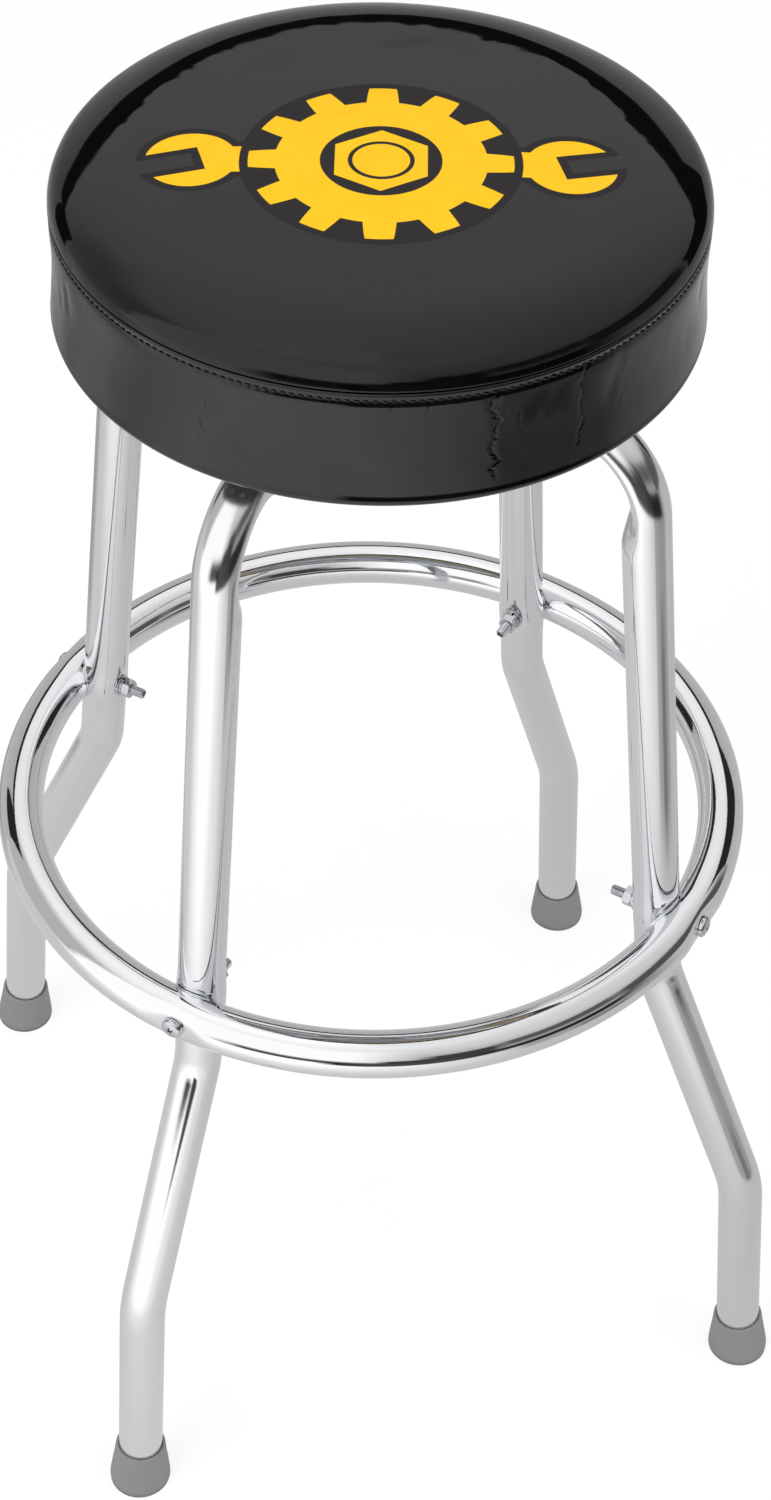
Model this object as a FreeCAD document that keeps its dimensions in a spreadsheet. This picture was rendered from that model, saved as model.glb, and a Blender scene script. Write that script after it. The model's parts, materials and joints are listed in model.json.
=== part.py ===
import FreeCAD, Part
import math
import os
import types

import Sketcher

# Garage stool: a round vinyl seat that swivels on four bent chromed legs, which a foot ring ties together.
# Millimetres. +Z is up, the origin is on the floor under the centre of the seat, and the front is -Y.
# The legs stand on the diagonals of the frame.

Vector = FreeCAD.Vector

# Driving dimensions: alias, size and what it measures.
DIMENSIONS = [
    ("overall_height", 768.0, "floor to the crown of the seat"),
    ("seat_thickness", 89.0, "underside of the seat to its crown"),
    ("seat_radius", 159.6, "seat at the seam"),
    ("waist_radius", 159.2, "side band where it is drawn in"),
    ("waist_height", 36.0, "drawn-in line above the underside"),
    ("base_radius", 161.4, "seat just above its underside"),
    ("base_roll", 5.0, "rounding of the lower edge"),
    ("seam_height", 64.8, "seam above the underside"),
    ("seam_roll", 0.9, "rounding of the vinyl on both sides of the seam"),
    ("shoulder_radius", 14.0, "rounding of the top panel at the seam"),
    ("brow_radius", 75.0, "slower curve of the top panel inside its shoulder"),
    ("brow_reach", 152.4, "where the shoulder passes into that curve, from the centre"),
    ("vinyl", 1.2, "thickness of the vinyl"),
    ("hem_width", 26.0, "vinyl turned in under the board"),
    ("stitch_drop", 4.5, "row of stitches below the seam"),
    ("thread_radius", 0.4, "sewing thread"),
    ("board_radius", 156.2, "plywood board"),
    ("board_thickness", 15.0, "plywood board"),
    ("staple_reach", 146.0, "staples from the centre"),
    ("staple_crown", 11.0, "width of a staple"),
    ("staple_leg", 9.0, "length of a staple's leg"),
    ("staple_wire", 0.7, "thickness of a staple's wire"),
    ("plate_side", 178.0, "swivel plates"),
    ("plate_corner", 14.0, "rounded corners of the swivel plates"),
    ("plate_thickness", 2.5, "swivel plates"),
    ("boss_radius", 42.0, "flat middle of a plate, pressed out"),
    ("boss_slope", 5.0, "width of the slope round the pressed-out middle"),
    ("boss_rise", 3.0, "how far the middle is pressed out"),
    ("race_radius", 34.0, "circle that the balls run on"),
    ("ball_radius", 3.175, "bearing balls, a quarter inch across"),
    ("bearing_clearance", 0.06, "balls to races"),
    ("cage_thickness", 1.5, "ball cage"),
    ("cage_half_width", 5.0, "ball cage, each side of the ball circle"),
    ("rivet_radius", 10.0, "shank of the centre rivet"),
    ("rivet_bore", 7.5, "hollow rivet"),
    ("rivet_flange", 15.0, "both heads of the rivet"),
    ("rivet_head", 1.5, "thickness of the rivet's heads"),
    ("running_gap", 0.1, "turning plate to rivet shank"),
    ("seat_screw_reach", 77.0, "seat screws from the centre"),
    ("inner_bolt_reach", 58.0, "inner leg bolts from the centre"),
    ("outer_bolt_reach", 96.0, "outer leg bolts from the centre"),
    ("tube_radius", 12.7, "one-inch tube of the legs and the ring"),
    ("tube_wall", 1.5, "wall of the tube"),
    ("top_run_start", 34.0, "inner end of a leg, from the centre"),
    ("top_run_height", 652.0, "axis of the leg under the swivel"),
    ("shoulder_reach", 148.5, "top bend of a leg, from the centre"),
    ("shoulder_bend", 49.5, "radius of the top bend"),
    ("kick_reach", 185.0, "corner where a leg kicks out"),
    ("kick_height", 295.0, "height of that corner"),
    ("kick_bend", 45.5, "radius of that bend"),
    ("ankle_reach", 250.5, "corner where a leg turns down again"),
    ("ankle_height", 148.0, "height of that corner"),
    ("ankle_bend", 73.0, "radius of that bend"),
    ("foot_reach", 263.0, "axis of a leg at the floor"),
    ("tube_end_height", 8.0, "cut end of a leg above the floor"),
    ("ring_radius", 197.5, "axis of the foot ring"),
    ("ring_height", 342.0, "axis of the foot ring above the floor"),
    ("ring_dent", 3.0, "depth of the ring's flat under a screw head"),
    ("ring_dent_radius", 60.0, "curve of that flat along the ring"),
    ("washer_dent", 1.8, "depth of a leg's flat under a washer"),
    ("screw_radius", 3.0, "M6 screws and bolts"),
    ("hole_radius", 3.3, "holes for them"),
    ("screw_length", 55.0, "ring screws under the head"),
    ("head_radius", 6.0, "pan heads"),
    ("head_height", 3.9, "pan heads"),
    ("recess_half_width", 0.75, "arms of the cross recess"),
    ("recess_reach", 2.9, "length of those arms from the axis"),
    ("recess_depth", 2.2, "cross recess"),
    ("washer_radius", 6.2, "flat washers"),
    ("washer_thickness", 1.4, "flat washers"),
    ("lock_radius", 5.2, "split lock washers"),
    ("lock_thickness", 1.6, "split lock washers"),
    ("lock_slit", 0.8, "slit of a lock washer"),
    ("nut_flats", 10.0, "nuts and hexagon heads across the flats"),
    ("nut_height", 5.0, "nuts"),
    ("hexagon_head", 4.0, "height of a hexagon head"),
    ("leg_bolt_length", 35.0, "leg bolts under the head"),
    ("seat_screw_length", 16.0, "seat screws under the head"),
    ("tee_flange", 9.0, "radius of a tee nut's flange"),
    ("tee_flange_thickness", 1.2, "tee nut"),
    ("tee_barrel", 4.0, "radius of a tee nut's barrel"),
    ("tee_depth", 10.0, "length of a tee nut's barrel"),
    ("tip_height", 28.5, "rubber tip"),
    ("tip_base_radius", 17.5, "rubber tip at the floor"),
    ("tip_rim_radius", 14.4, "rubber tip at its rim"),
    ("tip_foot_height", 4.0, "straight part of the tip above the floor"),
    ("tip_sole", 6.0, "rubber under the steel disc"),
    ("tip_edge", 1.2, "rounding of the tip's edges"),
    ("disc_radius", 12.0, "steel disc in a tip"),
    ("disc_bore", 4.0, "hole of the steel disc"),
]

BALL_COUNT = 20
STAPLE_COUNT = 32

LEG_AZIMUTHS = {
    "front_left": 225.0,
    "front_right": 315.0,
    "rear_right": 45.0,
    "rear_left": 135.0,
}

doc = FreeCAD.newDocument("garage_stool")


# Sizes that carry both their number and their formula

class Size:
    """A length and the formula that ties it to the sheet."""

    def __init__(self, number, formula):
        self.number = number
        self.formula = formula

    def __add__(self, other):
        other = as_size(other)
        return Size(self.number + other.number, f"({self.formula} + {other.formula})")

    def __sub__(self, other):
        other = as_size(other)
        return Size(self.number - other.number, f"({self.formula} - {other.formula})")

    def __mul__(self, other):
        other = as_size(other)
        return Size(self.number * other.number, f"({self.formula} * {other.formula})")

    def __truediv__(self, other):
        other = as_size(other)
        return Size(self.number / other.number, f"({self.formula} / {other.formula})")

    def __neg__(self):
        return Size(-self.number, f"(0 - {self.formula})")


def as_size(value):
    """Take a plain number as a size."""
    return value if isinstance(value, Size) else Size(value, repr(value))


def fill_sheet():
    """Write the driving dimensions to the sheet, and give them back by name."""
    sheet = doc.addObject("Spreadsheet::Sheet", "sizes")
    named = types.SimpleNamespace()
    for row, (alias, number, meaning) in enumerate(DIMENSIONS, start=1):
        sheet.set(f"A{row}", alias)
        sheet.set(f"B{row}", str(number))
        sheet.set(f"C{row}", meaning)
        sheet.setAlias(f"B{row}", alias)
        setattr(named, alias, Size(number, f"sizes.{alias}"))
    doc.recompute()
    return named


dim = fill_sheet()

# Levels that several pieces share
seat_underside = dim.overall_height - dim.seat_thickness
board_underside = seat_underside + dim.vinyl
leg_top = dim.top_run_height + dim.tube_radius
ball_level = (leg_top + board_underside) / 2
lower_boss_top = leg_top + dim.plate_thickness + dim.boss_rise
upper_boss_underside = board_underside - dim.plate_thickness - dim.boss_rise

# The straight runs of a leg, as reach per height
upper_lean = (dim.kick_reach - dim.shoulder_reach) / (dim.top_run_height - dim.kick_height)
lower_lean = (dim.foot_reach - dim.ankle_reach) / dim.ankle_height
leg_reach_at_ring = dim.kick_reach - upper_lean * (dim.ring_height - dim.kick_height)

# Where the screws through the ring bear: a head rests on the edge of the ring's shallow dent
dent_bottom = dim.ring_radius + dim.tube_radius - dim.ring_dent
head_bearing = dent_bottom + dim.head_radius * dim.head_radius / (dim.ring_dent_radius * 1.98)
washer_bearing = leg_reach_at_ring - dim.tube_radius + dim.washer_dent


# Helpers for objects, sketches and features

def bind(item, **properties):
    """Tie an object's properties to the sheet."""
    for name, size in properties.items():
        item.setExpression(name, as_size(size).formula)


def place(item, x=0.0, y=0.0, z=0.0, turn=None):
    """Turn an object and tie its place to the sheet."""
    item.Placement = FreeCAD.Placement(Vector(0, 0, 0), turn or FreeCAD.Rotation())
    for axis, size in (("x", x), ("y", y), ("z", z)):
        if isinstance(size, Size):
            item.setExpression(f".Placement.Base.{axis}", size.formula)


def feature(kind, name, **sizes):
    """Add a Part object with its sizes tied to the sheet."""
    item = doc.addObject(kind, name)
    bind(item, **sizes)
    return item


def joined(name, *pieces):
    """Fuse several tools into one."""
    item = doc.addObject("Part::MultiFuse", name)
    item.Shapes = list(pieces)
    return item


def cut(name, base, tool):
    """Cut a tool away from a base."""
    item = doc.addObject("Part::Cut", name)
    item.Base = base
    item.Tool = tool
    return item


def about_z(degrees):
    """A turn about the upright axis."""
    return FreeCAD.Rotation(Vector(0, 0, 1), degrees)


Z_TO_X = FreeCAD.Rotation(Vector(0, 1, 0), 90)
Z_TO_MINUS_X = FreeCAD.Rotation(Vector(0, 1, 0), -90)
SKETCH_UPRIGHT = FreeCAD.Rotation(Vector(1, 0, 0), 90)


def turned_copy(name, source, degrees):
    """One copy of a piece, turned about the centre of the stool."""
    copy = doc.addObject("Part::Compound", name)
    copy.Links = [source]
    copy.Placement = FreeCAD.Placement(Vector(0, 0, 0), about_z(degrees))
    return copy


def circle_of_copies(name, sources, angles):
    """Copies of one or more pieces round the centre of the stool, kept as separate solids."""
    group = doc.addObject("Part::Compound", name)
    group.Links = [
        turned_copy(f"{name}_copy_{index}_{number}", source, angle)
        for number, source in enumerate(sources)
        for index, angle in enumerate(angles)
    ]
    return group


def new_body(name, z=0.0):
    """Start a piece, raised to its level."""
    body = doc.addObject("PartDesign::Body", name)
    place(body, z=z)
    return body


def sketch_in(body, name, role, height=None):
    """Start a sketch on one of the body's own origin planes, or a height above it."""
    sketch = body.newObject("Sketcher::SketchObject", name)
    plane = next(item for item in body.Origin.OriginFeatures if item.Role == role)
    sketch.AttachmentSupport = [(plane, "")]
    sketch.MapMode = "FlatFace"
    if height is not None:
        sketch.setExpression(".AttachmentOffset.Base.z", height.formula)
    return sketch


def dimension(sketch, kind, *target, size):
    """Add a dimension to a sketch and tie it to the sheet."""
    size = as_size(size)
    index = sketch.addConstraint(Sketcher.Constraint(kind, *target, size.number))
    sketch.setExpression(f"Constraints[{index}]", size.formula)


def fix_point(sketch, geometry, end, x, y):
    """Dimension one point of a sketch from the sketch's origin."""
    for kind, axis, size in (("DistanceX", -2, x), ("DistanceY", -1, y)):
        if isinstance(size, Size):
            dimension(sketch, kind, -1, 1, geometry, end, size=size)
        else:
            sketch.addConstraint(Sketcher.Constraint("PointOnObject", geometry, end, axis))


def circle(sketch, x, y, radius):
    """Draw a circle."""
    centre = Vector(as_size(x).number, as_size(y).number, 0)
    index = sketch.addGeometry(Part.Circle(centre, Vector(0, 0, 1), as_size(radius).number))
    fix_point(sketch, index, 3, x, y)
    dimension(sketch, "Radius", index, size=radius)


def rounding(before, corner, after, radius):
    """Find the arc that rounds a corner: its start, middle and end, and its centre."""
    towards_start = (before - corner).normalize()
    towards_end = (after - corner).normalize()
    half_angle = towards_start.getAngle(towards_end) / 2
    reach = radius / math.tan(half_angle)
    centre = corner + (towards_start + towards_end).normalize() * (radius / math.sin(half_angle))
    start = corner + towards_start * reach
    end = corner + towards_end * reach
    middle = centre + (corner - centre).normalize() * radius
    return start, middle, end


def outline(sketch, corners, closed=True):
    """Draw lines through corners (x, y) or (x, y, radius), each tied to the sheet."""
    points = [Vector(as_size(corner[0]).number, as_size(corner[1]).number, 0) for corner in corners]
    count = len(corners)
    starts = list(points)
    ends = list(points)
    arcs = {}
    for index, corner in enumerate(corners):
        if len(corner) == 3:
            before = points[index - 1]
            after = points[(index + 1) % count]
            start, middle, end = rounding(before, points[index], after, as_size(corner[2]).number)
            starts[index] = start
            ends[index] = end
            turns_left = (points[index] - before).cross(after - points[index]).z > 0
            arc = Part.Arc(start, middle, end) if turns_left else Part.Arc(end, middle, start)
            arcs[index] = (sketch.addGeometry(arc), turns_left)
    lines = {}
    for index in range(count if closed else count - 1):
        following = (index + 1) % count
        lines[index] = sketch.addGeometry(Part.LineSegment(ends[index], starts[following]))
    for index, corner in enumerate(corners):
        incoming = lines.get((index - 1) % count) if closed or index else None
        outgoing = lines.get(index)
        if index in arcs:
            round_corner(sketch, points[index], incoming, arcs[index], outgoing, corner)
        else:
            if incoming is not None and outgoing is not None:
                sketch.addConstraint(Sketcher.Constraint("Coincident", incoming, 2, outgoing, 1))
            geometry, end = (outgoing, 1) if outgoing is not None else (incoming, 2)
            fix_point(sketch, geometry, end, corner[0], corner[1])


def round_corner(sketch, point, incoming, rounded, outgoing, corner):
    """Join two lines with an arc, and dimension the sharp corner that they would meet in."""
    arc, turns_left = rounded
    first, last = (1, 2) if turns_left else (2, 1)
    sketch.addConstraint(Sketcher.Constraint("Tangent", incoming, 2, arc, first))
    sketch.addConstraint(Sketcher.Constraint("Tangent", arc, last, outgoing, 1))
    mark = sketch.addGeometry(Part.Point(point), True)
    sketch.addConstraint(Sketcher.Constraint("PointOnObject", mark, 1, incoming))
    sketch.addConstraint(Sketcher.Constraint("PointOnObject", mark, 1, outgoing))
    fix_point(sketch, mark, 1, corner[0], corner[1])
    dimension(sketch, "Radius", arc, size=corner[2])


def revolved(body, sketch, kind="PartDesign::Revolution"):
    """Turn a sketch about its upright axis, as a solid or as a groove."""
    turn = body.newObject(kind, f"{sketch.Name}_turned")
    turn.Profile = sketch
    turn.ReferenceAxis = (sketch, ["V_Axis"])
    turn.Angle = 360.0
    return turn


def padded(body, sketch, length, midplane=False):
    """Pad a sketch."""
    pad = body.newObject("PartDesign::Pad", f"{sketch.Name}_pad")
    pad.Profile = sketch
    pad.Midplane = midplane
    bind(pad, Length=length)
    return pad


def pocket_through(body, sketch):
    """Cut a sketch right through the piece."""
    pocket = body.newObject("PartDesign::Pocket", f"{sketch.Name}_pocket")
    pocket.Profile = sketch
    pocket.Type = "ThroughAll"
    pocket.Midplane = True
    return pocket


def pocket_down(body, sketch, depth):
    """Cut a sketch downwards by a depth."""
    pocket = body.newObject("PartDesign::Pocket", f"{sketch.Name}_pocket")
    pocket.Profile = sketch
    bind(pocket, Length=depth)
    return pocket


def repeated_about_z(body, originals, count):
    """Repeat features round the upright axis of the body."""
    pattern = body.newObject("PartDesign::PolarPattern", f"{originals[0].Name}_pattern")
    pattern.Originals = originals
    axis = next(item for item in body.Origin.OriginFeatures if item.Role == "Z_Axis")
    pattern.Axis = (axis, [""])
    pattern.Angle = 360.0
    pattern.Occurrences = count
    body.Tip = pattern
    return pattern


def round_edges(body, base, test, radius):
    """Round those edges of a feature that pass a test."""
    doc.recompute()
    chosen = [f"Edge{index}" for index, edge in enumerate(base.Shape.Edges, start=1) if test(edge)]
    fillet = body.newObject("PartDesign::Fillet", f"{body.Name}_fillet")
    fillet.Base = (base, chosen)
    bind(fillet, Radius=radius)
    return fillet


def on_diagonal(reach):
    """The x and y of a point on the plates' diagonal."""
    return reach * math.sqrt(0.5)


def hexagon(sketch, flats):
    """Draw a hexagon by its size across the flats."""
    corner_radius = flats / math.sqrt(3.0)
    angles = [math.radians(60.0 * step + 30.0) for step in range(6)]
    outline(sketch, [(corner_radius * math.cos(angle), corner_radius * math.sin(angle)) for angle in angles])


def washer(name, outer, inner, thickness, z=0.0):
    """A flat ring."""
    body = new_body(name, z)
    sketch = sketch_in(body, f"{name}_face", "XY_Plane")
    circle(sketch, 0, 0, outer)
    circle(sketch, 0, 0, inner)
    padded(body, sketch, thickness)
    return body


# Seat

def crown_arcs(sketch, inset):
    """Draw the shoulder, the brow and the dome of the top panel, moved inwards by an inset."""
    shoulder_x = dim.seat_radius - dim.shoulder_radius
    shoulder = dim.shoulder_radius - inset
    brow = dim.brow_radius - inset
    apex = dim.seat_thickness - inset
    meeting_x = shoulder_x + (dim.brow_reach - shoulder_x) * shoulder / dim.shoulder_radius
    tilt = math.asin((dim.brow_reach - shoulder_x).number / dim.shoulder_radius.number)
    shoulder_centre = Vector(shoulder_x.number, dim.seam_height.number, 0)
    brow_centre = shoulder_centre - Vector(math.sin(tilt), math.cos(tilt), 0) * (brow - shoulder).number
    drop = apex.number - brow_centre.y
    dome_radius = (brow_centre.x**2 + drop**2 - brow.number**2) / (2 * (drop - brow.number))
    dome_centre = Vector(0, apex.number - dome_radius, 0)
    dome_angle = math.atan2(brow_centre.y - dome_centre.y, brow_centre.x)
    arcs = []
    for centre, radius, start, end in (
        (shoulder_centre, shoulder.number, 0.0, math.pi / 2 - tilt),
        (brow_centre, brow.number, math.pi / 2 - tilt, dome_angle),
        (dome_centre, dome_radius, dome_angle, math.pi / 2),
    ):
        arc = Part.ArcOfCircle(Part.Circle(centre, Vector(0, 0, 1), radius), start, end)
        arcs.append(sketch.addGeometry(arc))
    shoulder_arc, brow_arc, dome_arc = arcs
    fix_point(sketch, shoulder_arc, 3, shoulder_x, dim.seam_height)
    dimension(sketch, "Radius", shoulder_arc, size=shoulder)
    dimension(sketch, "DistanceY", -1, 1, shoulder_arc, 1, size=dim.seam_height)
    dimension(sketch, "DistanceX", -1, 1, shoulder_arc, 2, size=meeting_x)
    sketch.addConstraint(Sketcher.Constraint("Tangent", shoulder_arc, 2, brow_arc, 1))
    dimension(sketch, "Radius", brow_arc, size=brow)
    sketch.addConstraint(Sketcher.Constraint("Tangent", brow_arc, 2, dome_arc, 1))
    fix_point(sketch, dome_arc, 2, 0, apex)
    sketch.addConstraint(Sketcher.Constraint("PointOnObject", dome_arc, 3, -2))
    return shoulder_arc, dome_arc


def join_points(sketch, first, second):
    """Draw a line between two points of a sketch, given as (geometry, end)."""
    line = sketch.addGeometry(Part.LineSegment(sketch.getPoint(*first), sketch.getPoint(*second)))
    sketch.addConstraint(Sketcher.Constraint("Coincident", line, 1, *first))
    sketch.addConstraint(Sketcher.Constraint("Coincident", line, 2, *second))
    return line


def is_circle_at(radius, height):
    """A test for round edges of one radius at one height."""
    def test(edge):
        if edge.Degenerated or not isinstance(edge.Curve, Part.Circle):
            return False
        curve = edge.Curve
        return abs(curve.Radius - radius.number) < 0.01 and abs(curve.Center.z - height.number) < 0.01
    return test


def top_panel():
    """The domed vinyl that is sat on."""
    body = new_body("seat_top_vinyl", seat_underside)
    sketch = sketch_in(body, "top_panel_section", "XZ_Plane")
    outer_shoulder, outer_dome = crown_arcs(sketch, 0.0)
    inner_shoulder, inner_dome = crown_arcs(sketch, dim.vinyl)
    join_points(sketch, (outer_shoulder, 1), (inner_shoulder, 1))
    join_points(sketch, (outer_dome, 2), (inner_dome, 2))
    panel = revolved(body, sketch)
    round_edges(body, panel, is_circle_at(dim.seat_radius, dim.seam_height), dim.seam_roll)
    return body


def foam_pad():
    """The foam between the board and the vinyl."""
    body = new_body("seat_foam", seat_underside)
    sketch = sketch_in(body, "foam_section", "XZ_Plane")
    shoulder, dome = crown_arcs(sketch, dim.vinyl)
    floor = dim.vinyl + dim.board_thickness
    foot_radius = dim.waist_radius - dim.vinyl * 1.5
    foot = Vector(foot_radius.number, floor.number, 0)
    side = sketch.addGeometry(Part.LineSegment(foot, sketch.getPoint(shoulder, 1)))
    sketch.addConstraint(Sketcher.Constraint("Coincident", side, 2, shoulder, 1))
    fix_point(sketch, side, 1, foot_radius, floor)
    base = sketch.addGeometry(Part.LineSegment(Vector(0, floor.number, 0), foot))
    sketch.addConstraint(Sketcher.Constraint("Coincident", base, 2, side, 1))
    fix_point(sketch, base, 1, 0, floor)
    join_points(sketch, (base, 1), (dome, 2))
    revolved(body, sketch)
    return body


def side_band(staples):
    """The vinyl round the side, drawn in at its waist and turned in under the board."""
    body = new_body("side_band_uncut", seat_underside)
    sketch = sketch_in(body, "band_section", "XZ_Plane")
    hem = dim.base_radius - dim.hem_width
    waist_bend = 200.0
    outline(sketch, [
        (hem, 0),
        (dim.base_radius, 0, dim.base_roll),
        (dim.waist_radius, dim.waist_height, waist_bend),
        (dim.seat_radius, dim.seam_height),
        (dim.seat_radius - dim.vinyl, dim.seam_height),
        (dim.waist_radius - dim.vinyl, dim.waist_height, waist_bend),
        (dim.base_radius - dim.vinyl, dim.vinyl, dim.base_roll - dim.vinyl),
        (hem, dim.vinyl),
    ])
    band = revolved(body, sketch)
    rounded = round_edges(body, band, is_circle_at(dim.seat_radius, dim.seam_height), dim.seam_roll)
    body.Tip = rounded
    thread_channel = sketch_in(body, "thread_channel", "XZ_Plane")
    circle(thread_channel, dim.seat_radius, dim.seam_height - dim.stitch_drop, dim.thread_radius)
    revolved(body, thread_channel, "PartDesign::Groove")
    return cut("seat_side_vinyl", body, staples)


def stitching():
    """The row of stitches under the seam."""
    thread = feature("Part::Torus", "seat_stitching", Radius1=dim.seat_radius, Radius2=dim.thread_radius)
    place(thread, z=seat_underside + dim.seam_height - dim.stitch_drop)
    return thread


def staple_ring():
    """Staples round the turned-in hem."""
    staple = new_body("staple", seat_underside)
    sketch = sketch_in(staple, "staple_outline", "YZ_Plane", dim.staple_reach)
    half = dim.staple_crown / 2
    inside = half - dim.staple_wire
    outline(sketch, [
        (-half, -dim.staple_wire),
        (half, -dim.staple_wire),
        (half, dim.staple_leg),
        (inside, dim.staple_leg),
        (inside, 0),
        (-inside, 0),
        (-inside, dim.staple_leg),
        (-half, dim.staple_leg),
    ])
    padded(staple, sketch, dim.staple_wire, midplane=True)
    angles = [360.0 / STAPLE_COUNT * (step + 0.5) for step in range(STAPLE_COUNT)]
    return circle_of_copies("seat_staples", [staple], angles)


def board(staples):
    """The plywood board, with pockets for the tee nuts."""
    body = new_body("board_uncut", board_underside)
    disc = sketch_in(body, "board_disc", "XY_Plane")
    circle(disc, 0, 0, dim.board_radius)
    padded(body, disc, dim.board_thickness)
    seat_at = on_diagonal(dim.seat_screw_reach)
    barrel_hole = sketch_in(body, "barrel_hole", "XY_Plane")
    circle(barrel_hole, seat_at, seat_at, dim.tee_barrel)
    barrel = pocket_through(body, barrel_hole)
    flange_seat = sketch_in(body, "flange_seat", "XY_Plane", dim.board_thickness)
    circle(flange_seat, seat_at, seat_at, dim.tee_flange)
    flange = pocket_down(body, flange_seat, dim.tee_flange_thickness)
    repeated_about_z(body, [barrel, flange], 4)
    return cut("seat_board", body, staples)


def tee_nuts():
    """Tee nuts in the board, for the seat screws."""
    nut = new_body("tee_nut")
    sketch = sketch_in(nut, "tee_nut_section", "XZ_Plane")
    top = dim.tee_flange_thickness
    outline(sketch, [
        (dim.screw_radius, top - dim.tee_depth),
        (dim.tee_barrel, top - dim.tee_depth),
        (dim.tee_barrel, 0),
        (dim.tee_flange, 0),
        (dim.tee_flange, top),
        (dim.screw_radius, top),
    ])
    revolved(nut, sketch)
    place(nut, x=dim.seat_screw_reach, z=board_underside + dim.board_thickness - dim.tee_flange_thickness)
    return circle_of_copies("seat_t_nuts", [nut], LEG_AZIMUTHS.values())


# Swivel

def pressed_plate(name, level, centre_hole, holes):
    """A square plate with its middle pressed up, and holes on its diagonals."""
    body = new_body(name, level)
    half = dim.plate_side / 2
    slope_end = dim.boss_radius + dim.boss_slope
    square = sketch_in(body, f"{name}_square", "XY_Plane")
    outline(square, [
        (-half, -half, dim.plate_corner),
        (half, -half, dim.plate_corner),
        (half, half, dim.plate_corner),
        (-half, half, dim.plate_corner),
    ])
    circle(square, 0, 0, slope_end)
    padded(body, square, dim.plate_thickness)
    top = dim.boss_rise + dim.plate_thickness
    middle = sketch_in(body, f"{name}_middle", "XZ_Plane")
    outline(middle, [
        (centre_hole, dim.boss_rise),
        (dim.boss_radius, dim.boss_rise),
        (slope_end, 0),
        (slope_end, dim.plate_thickness),
        (dim.boss_radius, top),
        (centre_hole, top),
    ])
    revolved(body, middle)
    race = sketch_in(body, f"{name}_race", "XZ_Plane")
    half_gap = (upper_boss_underside - lower_boss_top) / 2
    circle(race, dim.race_radius, top + half_gap, dim.ball_radius + dim.bearing_clearance)
    revolved(body, race, "PartDesign::Groove")
    for index, reach in enumerate(holes):
        hole = sketch_in(body, f"{name}_hole_{index}", "XY_Plane")
        at = on_diagonal(reach)
        circle(hole, at, at, dim.hole_radius)
        repeated_about_z(body, [pocket_through(body, hole)], 4)
    return body


def lower_plate():
    """The swivel plate that the legs are bolted to."""
    bolt_reaches = [dim.inner_bolt_reach, dim.outer_bolt_reach]
    return pressed_plate("swivel_lower_plate", leg_top, dim.rivet_radius, bolt_reaches)


def upper_plate():
    """The swivel plate under the board: the same pressing, upside down."""
    centre_hole = dim.rivet_radius + dim.running_gap
    body = pressed_plate("swivel_upper_plate", board_underside, centre_hole, [dim.seat_screw_reach])
    place(body, z=board_underside, turn=FreeCAD.Rotation(Vector(1, 0, 0), 180))
    return body


def centre_rivet():
    """The hollow rivet that holds the two plates together."""
    body = new_body("swivel_rivet")
    sketch = sketch_in(body, "rivet_section", "XZ_Plane")
    foot = lower_boss_top - dim.plate_thickness
    head = upper_boss_underside + dim.plate_thickness + dim.running_gap * 2
    outline(sketch, [
        (dim.rivet_bore, foot - dim.rivet_head),
        (dim.rivet_flange, foot - dim.rivet_head),
        (dim.rivet_flange, foot),
        (dim.rivet_radius, foot),
        (dim.rivet_radius, head),
        (dim.rivet_flange, head),
        (dim.rivet_flange, head + dim.rivet_head),
        (dim.rivet_bore, head + dim.rivet_head),
    ])
    revolved(body, sketch)
    return body


def balls():
    """Bearing balls."""
    ball = feature("Part::Sphere", "ball", Radius=dim.ball_radius)
    place(ball, x=dim.race_radius, z=ball_level)
    return circle_of_copies("swivel_balls", [ball], [360.0 / BALL_COUNT * step for step in range(BALL_COUNT)])


def ball_cage():
    """The flat ring that spaces the balls."""
    inner = dim.race_radius - dim.cage_half_width
    outer = dim.race_radius + dim.cage_half_width
    body = washer("swivel_ball_cage", outer, inner, dim.cage_thickness, ball_level - dim.cage_thickness / 2)
    pocket = sketch_in(body, "ball_pocket", "XY_Plane")
    circle(pocket, dim.race_radius, 0, dim.ball_radius + dim.running_gap)
    repeated_about_z(body, [pocket_through(body, pocket)], BALL_COUNT)
    return body


# Fasteners

def pan_screw(name, length):
    """A pan-head screw with a cross recess: its head is above the origin and its shank below."""
    body = new_body(name)
    sketch = sketch_in(body, f"{name}_section", "XZ_Plane")
    chamfer = dim.screw_radius / 4
    outline(sketch, [
        (0, -length),
        (dim.screw_radius - chamfer, -length),
        (dim.screw_radius, chamfer - length),
        (dim.screw_radius, 0),
        (dim.head_radius, 0),
        (dim.head_radius, dim.head_height, dim.head_height * 0.75),
        (0, dim.head_height),
    ])
    revolved(body, sketch)
    cross = sketch_in(body, f"{name}_recess", "XY_Plane", dim.head_height)
    arm = dim.recess_half_width
    reach = dim.recess_reach
    outline(cross, [
        (reach, arm), (arm, arm), (arm, reach), (-arm, reach), (-arm, arm), (-reach, arm),
        (-reach, -arm), (-arm, -arm), (-arm, -reach), (arm, -reach), (arm, -arm), (reach, -arm),
    ])
    pocket_down(body, cross, dim.recess_depth)
    return body


def hexagon_nut(name):
    """A nut that stands on its origin."""
    body = new_body(name)
    sketch = sketch_in(body, f"{name}_face", "XY_Plane")
    hexagon(sketch, dim.nut_flats)
    circle(sketch, 0, 0, dim.screw_radius)
    padded(body, sketch, dim.nut_height)
    return body


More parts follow.
